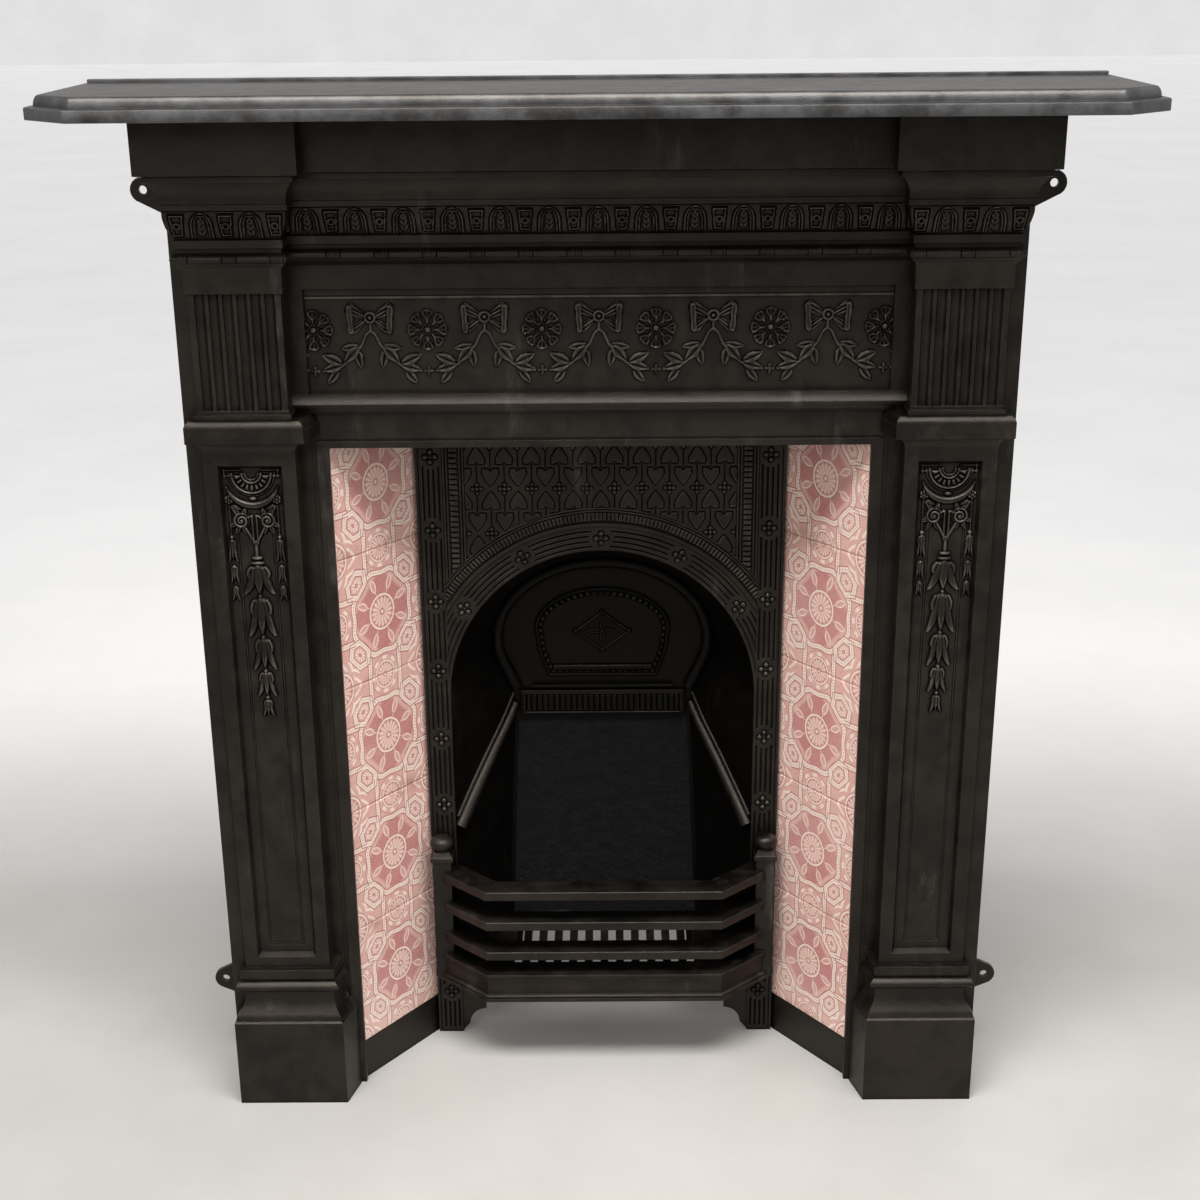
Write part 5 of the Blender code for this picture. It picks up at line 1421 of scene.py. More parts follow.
def knob_mesh(side):
    """A bun on a collar, turned about its post's axis."""
    base = TOP_BAR + 15 * MM
    middle = base + 12 * MM + KNOB_HEIGHT / 2
    profile = []
    for degrees in range(80, -61, -10):
        angle = math.radians(degrees)
        profile.append(
            (KNOB_RADIUS * math.cos(angle) ** 0.8, middle + KNOB_HEIGHT / 2 * math.sin(angle))
        )
    profile += [(POST_WIDTH * 0.40, base + 12.6 * MM), (POST_WIDTH * 0.40, base + 11.4 * MM)]
    levels = []
    turns = 40
    for radius, z in profile:
        outline = []
        for i in range(turns):
            angle = 2 * math.pi * i / turns
            x = side * POST_X + radius * math.cos(angle)
            outline.append((x, KNOB_Y + radius * math.sin(angle)))
        levels.append((z, outline))
    return stack("knob", levels)


def collar_mesh(side):
    """The tapering square block under a knob."""
    base = TOP_BAR + 15 * MM
    rows = [(-1, 11), (0, 11), (0.2, 13.6), (4.6, 14), (5.6, 13.6), (6.4, 12.4), (11, 10), (12, 9.6)]
    levels = []
    for z, half in rows:
        half = half * MM
        x = side * POST_X
        near = min(KNOB_Y + half, -2 * SEAM)
        front = KNOB_Y - half
        plan = [(x - half, front), (x + half, front), (x + half, near), (x - half, near)]
        levels.append((base + z * MM, plan))
    return stack("collar", levels)


def bars_casting(iron):
    mesh = stack("front_bars", rail_levels())
    steps = []
    for i in range(BARS):
        top = TOP_BAR - i * BAR_PITCH
        bar = rounded_prism(f"bar_{i + 1}", bar_plan(), top - BAR_THICK, top, 1.1 * MM)
        steps.append(("UNION", bar))
    for side in (1, -1):
        low = POST_X - POST_WIDTH / 2
        high = POST_X + POST_WIDTH / 2
        plan = [
            (side * low, -SEAM - POST_DEPTH),
            (side * high, -SEAM - POST_DEPTH),
            (side * high, -SEAM - BITE / 2),
            (side * low, -SEAM - BITE / 2),
        ]
        foot = RAIL_BOTTOM + 3 * MM
        post = rounded_prism(f"post_{side}", plan, foot, TOP_BAR + 16 * MM, 0.8 * MM)
        steps.append(("UNION", post))
        steps.append(("UNION", collar_mesh(side)))
        steps.append(("UNION", knob_mesh(side)))
    done = carved("bars", mesh, steps)
    add_piece("bars_casting", done, iron, ["front_bars"])


# Places on the carved faces, in millimetres
SPRING = 459.6
ARCH_INNER = 182.12
ARCH_OUTER = 210.4
FIELD_HALF = 183.25
PLATE_EDGE = 815.5
BAND_LOW = 1021.0
BAND_RISE = 28.0
BAND_PITCH = 49.6
BAND_PHASE = 24.8
PIER_PHASE = 375.0
FRIEZE_PITCH = 120.6
FRIEZE_FACE = -118.85
ROSE_HEIGHT = 919.5
SHAFT_MIDDLE = 374.0
SHAFT_FACE = -145.15
SHAFT_FIELD_TOP = 778.6
RING_MIDDLE = 196.6
STRIP_MIDDLE = 195.4
SIDES = ((1, "right"), (-1, "left"))


def carved_slab(name, x, y, z, back, relief_shading_and_wear, iron, node):
    """Lays one carved slab, its arrays in millimetres, on the casting it belongs to."""
    mesh = grid_slab(name, x * MM, y * MM, z * MM, back * MM, relief_shading_and_wear)
    add_piece(name, mesh, iron, [node], 60)


def frieze_relief(iron):
    """Rosettes, bows and leafy twigs along the sunk field."""
    xs = np.linspace(-309.8, 309.8, 640)
    zs = np.linspace(853.2, 962.8, 114)
    x, z = np.meshgrid(xs, zs, indexing="ij")
    pitch = FRIEZE_PITCH
    bow_x = np.abs((x + pitch / 2) % pitch - pitch / 2)
    rose_x = x % pitch - pitch / 2
    r = np.hypot(rose_x, z - ROSE_HEIGHT)
    turn = np.degrees(np.arctan2(rose_x, z - ROSE_HEIGHT))
    off = np.abs((turn + 22.5) % 45 - 22.5)
    gap = r * np.sin(np.radians(22.5 - off)) - (0.95 + 1.3 * np.exp(-(((r - 10.5) / 2.6) ** 2)))
    reach = 21.6 - 2.4 * (off / 22.5) ** 2.4 - r
    edge = np.minimum(gap, reach)
    petal = step(-0.3, 0.9, edge) * (1.9 + 1.9 * np.exp(-(((edge - 1.1) / 1.0) ** 2)))
    side = r * np.sin(np.radians(off))
    petal = petal + 0.55 * np.exp(-(((side - 0.2) / 0.6) ** 2)) * step(1.5, 3, edge)
    petal = petal * step(6.3, 7.6, r) + 0.5 * (r < 7)
    rose = merge(petal, dome(r, 3.7, 4.6), roll(r - 5.3, 0.9, 1.5))
    knot = np.hypot(bow_x, z - 932.7)
    bow = merge(roll(knot - 5.0, 1.8, 4.2), dome(knot, 3.0, 4.6))
    d, _ = segment(bow_x, z, 21.8, 942.5, 20.2, 918.5)
    strap = step(0, 1.0, 3.7 - d) * (3.9 + 0.4 * np.exp(-(((d - 2.8) / 0.8) ** 2)))
    d, s = segment(bow_x, z, 6.5, 934.0, 19.5, 941.0)
    upper = step(0, 1.0, 3.6 + 3.4 * s - d) * (2.6 + 0.8 * np.cos(d * 1.7))
    d, s = segment(bow_x, z, 5.5, 929.0, 17.5, 920.5)
    lower = step(0, 1.0, 3.0 + 2.6 * s - d) * (2.0 + 0.8 * np.cos(d * 1.7))
    d, _ = segment(bow_x, z, 0, 927.0, 0, 918.5)
    stem = roll(d, 1.9, 3.0)
    path = [(0, 919), (4.7, 915), (10.0, 903.5), (18.2, 893), (29, 883.4), (39.8, 877.2), (52, 876)]
    for (ax, az), (bx, bz) in zip(path, path[1:]):
        d, _ = segment(bow_x, z, ax, az, bx, bz)
        stem = np.maximum(stem, roll(d, 1.7, 2.8))
    leaves = [
        (12.0, 902.6, 22.0, 9.4, 98, 3.2),
        (14.9, 899.0, 21.0, 10.4, 190, 3.0),
        (14.0, 901.5, 23.0, 12.4, 137, 3.8),
        (31.5, 884.0, 24.0, 12.0, 66, 3.6),
        (31.0, 882.5, 23.5, 10.8, 104, 3.8),
        (36.0, 876.5, 19.0, 10.0, 139, 3.2),
    ]
    total = merge(rose, bow, strap, upper, lower, stem)
    for ax, az, length, width, bearing, height in leaves:
        total = np.maximum(total, leaf_form(bow_x, z, ax, az, length, width, bearing, height))
    for px, pz in ((24.5, 896.5), (26.8, 893.0), (10.5, 893.5)):
        total = np.maximum(total, dome(np.hypot(bow_x - px, z - pz), 1.5, 2.4))
    d, _ = segment(rose_x, z, 0, 880.5, 0, 871.5)
    tie = merge(roll(d, 1.6, 4.2), roll(np.hypot(rose_x / 2.6, z - 876), 2.2, 2.6))
    total = merge(total, tie)
    total = total * step(853.2, 853.8, z)
    shelf = 2.0 * step(951.6, 952.2, z) + roll(z - 953.4, 1.3, 0.9)
    total = np.maximum(total, shelf)
    y = FRIEZE_FACE - total
    carved_slab("frieze_relief", x, y, z, -117.0, relief_shading_and_wear_from(total), iron, "surround")


def bell(a, d, top, length, half, height):
    """A hanging bell flower: a cap and drooping petals whose tips turn out."""
    t = np.clip((d - top) / length, 0, 1)
    cap = dome(np.hypot(a, (d - top - half * 0.32) * 1.25), half * 0.42, height)
    center = half * 0.30 * np.sin(np.pi * np.clip(0.12 + 0.9 * t, 0, 1)) ** 0.8
    middle = height * step(0, 0.9, center - np.abs(a)) * ((t > 0) & (t < 1))
    middle = middle * (0.9 + 0.2 * np.cos(np.clip(a / (center + 0.01), -1, 1) * 1.57))
    line = half * (0.24 + 0.30 * t + 0.42 * t**3.2)
    width = half * (0.05 + 0.24 * np.sin(np.pi * np.clip(t * 0.96, 0, 1)) ** 0.7)
    petal = height * 0.88 * np.sqrt(np.clip(1 - ((np.abs(a) - line) / width) ** 2, 0, 1))
    petal = petal * ((t > 0.08) & (t < 0.97))
    wing_line = half * (0.30 + 0.34 * np.sin(np.pi * np.clip(t * 1.7, 0, 1)))
    wing = height * 0.7 * np.sqrt(np.clip(1 - ((np.abs(a) - wing_line) / (half * 0.16)) ** 2, 0, 1))
    wing = wing * ((t > 0.05) & (t < 0.52))
    vein = 0.5 * np.exp(-((a / 0.5) ** 2)) * (t > 0.3) * (t < 0.95)
    return merge(cap, middle - vein, petal, wing)


def pilaster_reliefs(iron):
    """Half patera, swag, scrolls and a long drop of bell flowers, set in each shaft's field."""
    deep = np.linspace(0.6, 291.0, 420)
    across = np.linspace(-30.6, 30.6, 90)
    d, a = np.meshgrid(deep, across, indexing="ij")
    b = np.abs(a)
    r = np.hypot(a, d - 6.0)
    below = step(4.5, 6.5, d)
    turn = np.degrees(np.arctan2(a, d - 6.0))
    flute = 0.5 + 0.5 * np.cos(np.radians(turn) * 2 * np.pi / np.radians(19.0))
    tongue = 3.0 * step(0.30, 0.62, flute) * step(12.2, 13.2, r) * step(19.0, 18.0, r)
    rings = ((10.2, 1.4, 3.6), (7.2, 0.9, 2.2), (21.2, 1.5, 4.2), (24.4, 0.8, 2.0))
    total = merge(tongue, *[roll(r - at, half, height) for at, half, height in rings]) * below
    corner = (b > 10) & (d < 11.5)
    bar = merge(roll(d - 2.2, 0.9, 2.4), roll(d - 8.6, 0.9, 2.4), roll(b - 29.0, 0.9, 2.4))
    total = np.where(corner, np.maximum(total, np.where(b > 11, bar, 0)), total)
    swag_r = np.hypot(a, d - 12.0)
    bearing = np.abs(np.degrees(np.arctan2(a, d - 12.0)))
    thick = 3.8 * np.clip(1 - (bearing / 78) ** 2, 0.12, 1)
    swag = 4.2 * np.sqrt(np.clip(1 - ((swag_r - 29.0) / thick) ** 2, 0, 1)) * (bearing < 76)
    swag = swag - 0.5 * np.exp(-(((swag_r - 29.0) / 0.6) ** 2)) * (bearing < 60)
    total = merge(total, swag, dome(np.hypot(a * 0.6, d - 33.5), 2.6, 3.8))
    cx = b - 26.0
    q = np.hypot(cx, d - 35.0)
    angle = np.degrees(np.arctan2(cx, d - 35.0))
    ring = 3.4 * (0.72 + 0.28 * np.cos(np.radians(angle * 6)))
    total = merge(total, ring * step(5.4, 4.2, q) * step(1.2, 2.2, q), dome(q, 1.7, 4.4))
    low_leaf = leaf_form(b, d, 23.0, 41.0, 11.0, 4.6, -62, 3.0)
    total = merge(total, low_leaf, leaf_form(b, d, 25.0, 24.0, 9.0, 4.6, 8, 2.6))
    s = np.hypot(b - 14.0, d - 58.0)
    spiral = np.degrees(np.arctan2(b - 14.0, d - 58.0)) / 360
    curl = np.abs(((s / 4.2 - spiral) % 1) - 0.5) * 4.2
    scroll = 3.9 * np.sqrt(np.clip(1 - (curl / 1.9) ** 2, 0, 1)) * step(9.4, 8.4, s)
    total = merge(total, scroll, dome(s, 2.2, 4.4))
    for bearing_leaf, length in ((-15, 11), (25, 12), (62, 10), (155, 9), (200, 10)):
        rad = math.radians(bearing_leaf)
        ax = 14.0 + 5.5 * math.sin(rad)
        ad = 58.0 + 5.5 * math.cos(rad)
        leaf = leaf_form(b, d, ax, ad, length, 5.4, bearing_leaf, 3.2)
        total = np.maximum(total, leaf)
    for ax, ad, bx, bd, half in (
        (2.6, 52.5, 2.2, 84.0, 1.3), (2.6, 52.5, 8.0, 55.0, 1.2), (10.5, 66.0, 2.6, 80.0, 1.5),
        (0.0, 82.0, 0.0, 98.0, 2.1), (23.5, 43.0, 18.5, 52.0, 1.2),
    ):
        line, _ = segment(b, d, ax, ad, bx, bd)
        total = np.maximum(total, roll(line, half, 3.2))
    for at, half, tall in ((100.0, 5.8, 2.4), (105.6, 6.8, 2.2), (109.5, 4.2, 1.6)):
        total = np.maximum(
            total, 4.6 * np.sqrt(np.clip(1 - (a / half) ** 2 * 0.8 - ((d - at) / tall) ** 2, 0, 1))
        )
    for top, length, half in (
        (108.0, 34.0, 17.0), (145.0, 46.0, 15.5), (192.0, 38.0, 13.0), (231.0, 30.0, 10.5),
        (264.0, 21.0, 6.5),
    ):
        total = np.maximum(total, bell(a, d, top, length, half, 4.8))
        tier = leaf_form(b, d, 1.0, top + length * 0.30, half * 0.78, half * 0.30, 62, 4.0)
        total = np.maximum(total, tier)
    for joint in (143.5, 191.0, 230.5, 262.0):
        total = np.maximum(total, dome(np.hypot(a, d - joint), 2.4, 4.0))
    c = b - 26.0
    line, _ = segment(b, d, 26.0, 42.0, 26.0, 76.0)
    total = np.maximum(total, roll(line, 0.9, 2.0))
    total = np.maximum(total, dome(np.hypot(c, d - 77.0), 2.6, 3.2))
    for top, length, half in ((79.0, 27.0, 5.4), (108.0, 22.0, 5.0), (131.5, 18.0, 4.2)):
        total = np.maximum(total, bell(c, d, top, length, half, 3.4))
    lines = merge(roll(b - 20.5, 0.9, 0.8), roll(b - 18.1, 0.9, 0.8)) * step(68, 71, d)
    flat = total < 0.25
    total = np.where(flat, total - lines, total)
    relief_shading_and_wear = relief_shading_and_wear_from(total)
    for side, label in SIDES:
        x = side * SHAFT_MIDDLE + a
        y = SHAFT_FACE - total
        name = f"pilaster_relief_{label}"
        carved_slab(name, x, y, SHAFT_FIELD_TOP - d, -143.0, relief_shading_and_wear, iron, "surround")


def band_height(x, v, phase):
    """Carving of the enriched band: tapered squares and arched laurel leaves in turn."""
    pitch = BAND_PITCH
    xs = (x - phase + pitch / 2) % pitch - pitch / 2
    xl = (x - phase) % pitch - pitch / 2
    rise = v * 28
    head = np.sqrt(np.clip(1 - (np.clip(v - 0.46, 0, 1) / 0.50) ** 2, 0, 1))
    arch = (12.0 - 1.0 * v) * head - np.abs(xl)
    arch = np.minimum(arch, (0.97 - v) * 26 + 0.2)
    total = np.full_like(x, 1.4)
    total = np.where(arch > -1.3, 0.3, total)
    total = np.maximum(total * (arch < 0), roll(arch - 1.3, 1.3, 2.8))
    total = np.where(arch > 2.6, 0.2, total)
    total = np.maximum(total, roll(arch - 4.2, 1.0, 2.2))
    spray = np.zeros_like(x)
    for low, length in ((2.2, 8.6), (8.0, 8.0), (13.6, 7.2)):
        for lean in (-27, 27):
            spray = np.maximum(spray, leaf_form(xl, rise, 0, low, length, 3.8, lean, 2.6))
    spray = np.maximum(spray, leaf_form(xl, rise, 0, 17.5, 6.0, 3.2, 0, 2.6))
    total = np.where(arch > 5.2, np.maximum(total, spray), total)
    half = 4.9 + 2.7 * v
    frame_edge = np.minimum(half - np.abs(xs), np.minimum((v - 0.09) * 28, (0.86 - v) * 28))
    ring = np.hypot(xs, (v - 0.46) * 28)
    inside = merge(roll(frame_edge - 0.9, 1.0, 2.6), roll(ring - 2.9, 1.1, 2.6))
    waist = np.abs(v - 0.46) * 28 < 2.6
    inside = np.where(waist & (np.abs(xs) > 2.6) & (frame_edge > 0), np.maximum(inside, 1.9), inside)
    square = np.where(frame_edge > -1.7, 0.2, total)
    square = np.where(frame_edge > 0, np.maximum(inside, 0.35), square)
    return np.where((np.abs(xs) < half + 3.5) & (arch < -1.0), square, total)


def band_out(v):
    return 6.5 + 9.0 * v + 3.0 * np.sin(np.pi * v)


def band_reliefs(iron):
    """The enriched band and the bead and reel below it, on the middle and on both piers."""
    inner = 327.0
    v = np.linspace(0, 1, 38)
    out = band_out(v)
    u = np.linspace(-1, 1, 700)
    share, level = np.meshgrid(u, v, indexing="ij")
    x = share * (inner - INNER_RETURN * out)[None, :]
    h = band_height(x, level, BAND_PHASE)
    y = -130.0 - out[None, :] - h * step(0, 0.03, level) * step(1, 0.97, level)
    z = BAND_LOW + BAND_RISE * level
    carved_slab("cornice_band", x, y, z, -134.0, relief_shading_and_wear_from(h, 2), iron, "surround")
    u = np.linspace(0, 1, 140)
    share, level = np.meshgrid(u, v, indexing="ij")
    low = (inner - INNER_RETURN * out)[None, :]
    high = (423.0 + out)[None, :]
    x = low + (high - low) * share
    h = band_height(x, level, PIER_PHASE)
    y = -160.0 - out[None, :] - h * step(0, 0.03, level) * step(1, 0.97, level)
    z = BAND_LOW + BAND_RISE * level
    for side, label in SIDES:
        name = f"cornice_band_{label}"
        carved_slab(name, side * x, y, z, -164.0, relief_shading_and_wear_from(h, 2), iron, "surround")
    v = np.linspace(0, 1, 13)
    roll_out = 9.7 + 3.2 * np.sin(np.pi * v)
    spans = [("bead_and_reel", -312.0, 312.0, -130.0, BAND_PHASE, 1000)]
    spans += [("bead_and_reel_right", 319.6, 431.0, -160.0, PIER_PHASE, 190)]
    spans += [("bead_and_reel_left", -431.0, -319.6, -160.0, -PIER_PHASE, 190)]
    for name, low, high, face, phase, count in spans:
        xs = np.linspace(low, high, count)
        x, level = np.meshgrid(xs, v, indexing="ij")
        near = (x - phase + BAND_PHASE) % BAND_PITCH - BAND_PHASE
        reels = np.abs(near) < 7.2
        disc = np.abs(np.cos(np.pi * near / 2.9)) ** 0.6
        h = np.where(reels, 0.9 * disc - 0.35, 0.35)
        h = h - 0.7 * np.exp(-(((np.abs(near) - 7.4) / 0.6) ** 2))
        h = h * np.sin(np.pi * np.clip(level, 0.02, 0.98)) ** 0.5
        y = face - roll_out[None, :] - 0.9 - h
        y = np.where((level < 0.01) | (level > 0.99), face - 9.6, y)
        z = 995.9 + 9.6 * level
        # Above zero this lightens for wear and painted highlight, below zero it paints shade.
        relief_shading_and_wear = np.clip(h - 0.3, -1, 1)
        carved_slab(name, x, y, z, face - 7.0, relief_shading_and_wear, iron, "surround")


def quatrefoil_height(x, z, turn=0.0):
    """Four buttons round a point, each in its own ring; returns the relief."""
    total = np.zeros_like(x)
    near = np.full_like(x, 99.0)
    for i in range(4):
        angle = math.radians(90 * i) + turn
        d = np.hypot(x - 5.7 * math.sin(angle), z - 5.7 * math.cos(angle))
        near = np.minimum(near, d)
        total = np.maximum(total, dome(d, 2.7, 1.9))
    trough = -1.1 * np.exp(-(((near - 3.4) / 0.7) ** 2))
    return np.where(near < 2.7, total, trough)


def strip_reliefs(iron):
    """Reeded side strips of the arch plate, stopped at buttoned quatrefoils."""
    z_rows = np.linspace(0.5, PLATE_EDGE, 700)
    u = np.linspace(0, 1, 42)
    z, share = np.meshgrid(z_rows, u, indexing="ij")
    for side, label in SIDES:
        rise = np.clip(z_rows - SPRING, 0, 11.1)
        inner = np.where(z_rows < 470.7, np.sqrt(ARCH_INNER**2 - rise**2), 183.3)
        x = inner[:, None] + (213.0 - inner[:, None]) * share
        h = np.zeros_like(x)
        knots = [59.0, 319.0, 406.0, 493.0, 580.0, 667.0, 754.0]
        gap = np.min(np.abs(z[..., None] - np.array(knots)), axis=-1)
        for shift in (-9, -3, 3, 9):
            stop = step(15.5 - abs(shift) * 0.55, 16.5 - abs(shift) * 0.55, gap)
            h = h - roll(x - STRIP_MIDDLE - shift, 1.35, 1.4) * stop * step(6, 8, z)
        for knot in knots:
            h = h + quatrefoil_height(x - STRIP_MIDDLE, z - knot)
        h = h - roll(x - 209.6, 0.8, 0.8)
        name = f"reeded_strip_{label}"
        carved_slab(name, side * x, -h, z, 3.0, relief_shading_and_wear_from(h, 2), iron, "insert_front")


def arch_relief(iron):
    """The reeded ring round the arch, from strip to strip."""
    turns = np.radians(np.linspace(3.6, 176.4, 620))
    share = np.linspace(0, 1, 38)
    outer = np.minimum(ARCH_OUTER, FIELD_HALF / np.maximum(np.abs(np.cos(turns)), 1e-6))
    t, s = np.meshgrid(turns, share, indexing="ij")
    r = ARCH_INNER + (outer[:, None] - ARCH_INNER) * s
    x = r * np.cos(t)
    z = SPRING + r * np.sin(t)
    h = np.zeros_like(x)
    knots = np.radians([34.5, 62.2, 90, 117.8, 145.5])
    gap = np.min(np.abs(t[..., None] - knots), axis=-1) * RING_MIDDLE
    for shift in (-9.3, -3.2, 2.9, 9.0):
        stop = step(15.5 - abs(shift) * 0.55, 16.5 - abs(shift) * 0.55, gap)
        h = h - roll(r - 196.0 - shift, 1.3, 1.4) * stop
    for knot in knots:
        kx = RING_MIDDLE * math.cos(knot)
        kz = SPRING + RING_MIDDLE * math.sin(knot)
        h = h + quatrefoil_height(x - kx, z - kz, math.pi / 2 - knot)
    carved_slab("arch_ring", x, -h, z, 3.0, relief_shading_and_wear_from(h, 2), iron, "insert_front")


def spade_height(dx, dz, up):
    """One spade leaf: a stippled pad inside a groove, point up or down, its base at dz 0."""
    t = dz / 20.0 if up else -dz / 20.0
    half = np.where(t < 0.32, 9.0 + 1.6 * np.clip(t, 0, 1), 9.5 * np.clip((1 - t) / 0.68, 0, 1) ** 0.72)
    notch = np.hypot(dx, t * 20.0) - 2.6
    edge = np.minimum(np.minimum(half - np.abs(dx), t * 20.0), np.minimum((1 - t) * 16.0, notch))
    pad = 0.9 * step(0.2, 1.0, edge) + 0.10 * np.sin(dx * 3.1) * np.sin(dz * 3.3) * (edge > 1.2)
    groove = -1.1 * np.exp(-(((edge + 0.5) / 0.75) ** 2))
    return np.where(edge > 0, pad, groove), edge


def spandrel_relief(iron):
    """Lattice of spade leaves over the arch, with the beaded borders beside and below it."""
    xs = np.linspace(-FIELD_HALF, FIELD_HALF, 420)
    share = np.linspace(0, 1, 190)
    low = SPRING + np.sqrt(ARCH_OUTER**2 - xs**2)
    x, s = np.meshgrid(xs, share, indexing="ij")
    z = low[:, None] + (PLATE_EDGE - low[:, None]) * s
    r = np.hypot(x, z - SPRING)
    pitch = 31.7
    ground = np.zeros_like(x)
    for column, start in ((0.5, 716.0), (0.0, 663.0)):
        dx = (x - column * pitch + pitch / 2) % pitch - pitch / 2
        dz = (z - start + 53.0) % 106.0 - 53.0
        for up, base in ((True, 29.2), (False, -29.2)):
            pad, edge = spade_height(dx, dz - base, up)
            ground = np.where(edge > -1.9, np.where(edge > 0, pad, np.minimum(ground, pad)), ground)
        stem = (np.abs(dz) > 6.8) & (np.abs(dz) < 29.5)
        ground = np.where(stem, ground - 1.3 * np.exp(-((dx / 0.85) ** 2)), ground)
        ends = np.hypot(dx, np.abs(dz) - 29.0)
        ground = np.minimum(ground, -1.2 * np.exp(-((ends / 1.4) ** 2)) + (ends > 3) * 9)
        buttons = np.zeros_like(x)
        near = np.full_like(x, 99.0)
        for ax, az in ((0, 5.0), (5.0, 0), (0, -5.0), (-5.0, 0), (0, 0)):
            d = np.hypot(dx - ax, dz - az)
            near = np.minimum(near, d)
            buttons = np.maximum(buttons, dome(d, 2.1, 1.5))
        ground = np.where(near < 3.4, np.where(near < 2.1, buttons, -0.8), ground)
    b = np.abs(x)
    side = np.full_like(x, -0.3)
    side = np.maximum(side, merge(roll(b - 158.6, 1.1, 1.3), roll(b - 162.0, 1.1, 1.0)))
    side = np.maximum(side, merge(roll(b - 177.2, 1.1, 1.3), roll(b - 180.8, 1.2, 1.0)))
    tooth = np.abs(np.cos(np.pi * z / 6.3)) ** 0.5
    side = np.where((b > 165) & (b < 174.4), -1.1 + 2.3 * step(0.42, 0.7, tooth), side)
    h = np.where(b > 156.8, side, ground)
    ring = np.full_like(x, -0.3)
    ring = np.maximum(ring, merge(roll(r - 213.2, 2.9, 2.3), roll(r - 229.6, 1.0, 1.2)))
    ring = np.maximum(ring, roll(r - 232.4, 0.9, 0.9))
    angle = np.arctan2(x, z - SPRING) * 222.5
    tooth = np.abs(np.cos(np.pi * angle / 4.6)) ** 0.5
    ring = np.where((r > 218.4) & (r < 226.6), -1.1 + 2.3 * step(0.42, 0.7, tooth), ring)
    h = np.where(r < 233.6, ring, h)
    carved_slab("spandrel_relief", x, -h, z, 3.0, relief_shading_and_wear_from(h, 2), iron, "insert_front")


def fluted_band(iron):
    """Frame over the brick with its row of short flutes."""
    xs = np.linspace(-103, 103, 250)
    zs = np.linspace(396.0, 430.0, 42)
    x, z = np.meshgrid(xs, zs, indexing="ij")
    edge = np.minimum(103 - np.abs(x), np.minimum(z - 396.0, 430.0 - z))
    h = np.where(edge < 5.5, 1.6 + roll(edge - 4.2, 1.0, 0.9), 0.2)
    inner = (np.abs(x) < 94) & (z > 403.0) & (z < 423.5)
    rib = np.abs(np.cos(np.pi * x / 7.2)) ** 0.7
    h = np.where(inner, 0.2 + 1.7 * step(0.35, 0.8, rib), h)
    h = h * step(0, 1.0, edge)
    carved_slab("fluted_band", x, 104.6 - h, z, 110.6, relief_shading_and_wear_from(h, 2), iron, "fireback")


def flap_relief(iron):
    """The damper plate: a beaded arch, a ledge bar and a diamond with a four-petalled flower."""
    zs = np.linspace(447.0, 562.6, 136)
    zs_half = np.where(
        zs < 480,
        68 + 12 * (zs - 447) / 33,
        np.where(
            zs < 510,
            80 + 4 * (zs - 480) / 30,
            84 * np.sqrt(np.clip(1 - ((zs - 510) / 53.0) ** 2, 0, 1)),
        ),
    )
    u = np.linspace(-1, 1, 190)
    z, s = np.meshgrid(zs, u, indexing="ij")
    x = s * zs_half[:, None]
    outline = [(68.0, 447.0), (80.0, 480.0)]
    for i in range(61):
        angle = math.pi * i / 60
        outline.append((84 * math.cos(angle), 510 + 53 * math.sin(angle)))
    outline += [(-80.0, 480.0), (-68.0, 447.0)]
    edge = np.full_like(x, 99.0)
    for (ax, az), (bx, bz) in zip(outline, outline[1:] + outline[:1]):
        d, _ = segment(x, z, ax, az, bx, bz)
        edge = np.minimum(edge, d)
    h = roll(edge - 2.2, 1.6, 1.4)
    h = np.where(edge > 10.4, 0.5, h)
    ring = inset_outline(outline, 7.0)
    points = np.array(ring + ring[:1])
    steps_along = np.hypot(*np.diff(points, axis=0).T)
    along = np.concatenate([[0], np.cumsum(steps_along)])
    count = int(round(along[-1] / 8.2))
    spots = np.linspace(0, along[-1], count, endpoint=False)
    beads_x = np.interp(spots, along, points[:, 0])
    beads_z = np.interp(spots, along, points[:, 1])
    for bx, bz in zip(beads_x, beads_z):
        h = np.maximum(h, dome(np.hypot(x - bx, z - bz), 2.9, 2.6))
    bar = (np.abs(x) < 61) & (np.abs(z - 459.5) < 3.6)
    h = np.where(bar, np.maximum(h, 2.0 + roll(z - 459.5, 3.6, 2.0)), h)
    dx = np.abs(x)
    dz = np.abs(z - 507.0)
    d, _ = segment(dx, dz, 33.0, 0, 0, 24.6)
    diamond = merge(roll(d, 1.5, 2.2), roll(d - 3.0, 0.7, 1.4) * (dx / 33 + dz / 24.6 < 1))
    for px, pz in ((33.0, 0.0), (0.0, 24.6)):
        diamond = np.maximum(diamond, dome(np.hypot(dx - px, dz - pz), 3.2, 3.0))
    for bearing, length, width in ((90, 20.0, 7.0), (0, 15.0, 7.0), (270, 20.0, 7.0)):
        diamond = np.maximum(diamond, leaf_form(dx, dz, 0.0, 0.0, length, width, bearing, 2.2))
    diamond = np.maximum(diamond, dome(np.hypot(dx, dz), 3.0, 3.2))
    h = np.maximum(h, diamond)
    carved_slab("damper_plate", x, 107.7 - h, z, 113.7, relief_shading_and_wear_from(h, 2), iron, "damper_flap")


def rod(name, path, radii, sides=20):
    """A closed round bar along points, in metres, with one radius per point."""
    rings = []
    points = [Vector(p) for p in path]
    for i, point in enumerate(points):
        ahead = (points[min(i + 1, len(points) - 1)] - points[max(i - 1, 0)]).normalized()
        first = ahead.cross(Vector((0, 1, 0.001))).normalized()
        second = ahead.cross(first).normalized()
        ring = []
        for k in range(sides):
            angle = 2 * math.pi * k / sides
            offset = first * math.cos(angle) + second * math.sin(angle)
            ring.append(point + offset * radii[i])
        rings.append(ring)
    return loft(name, rings)


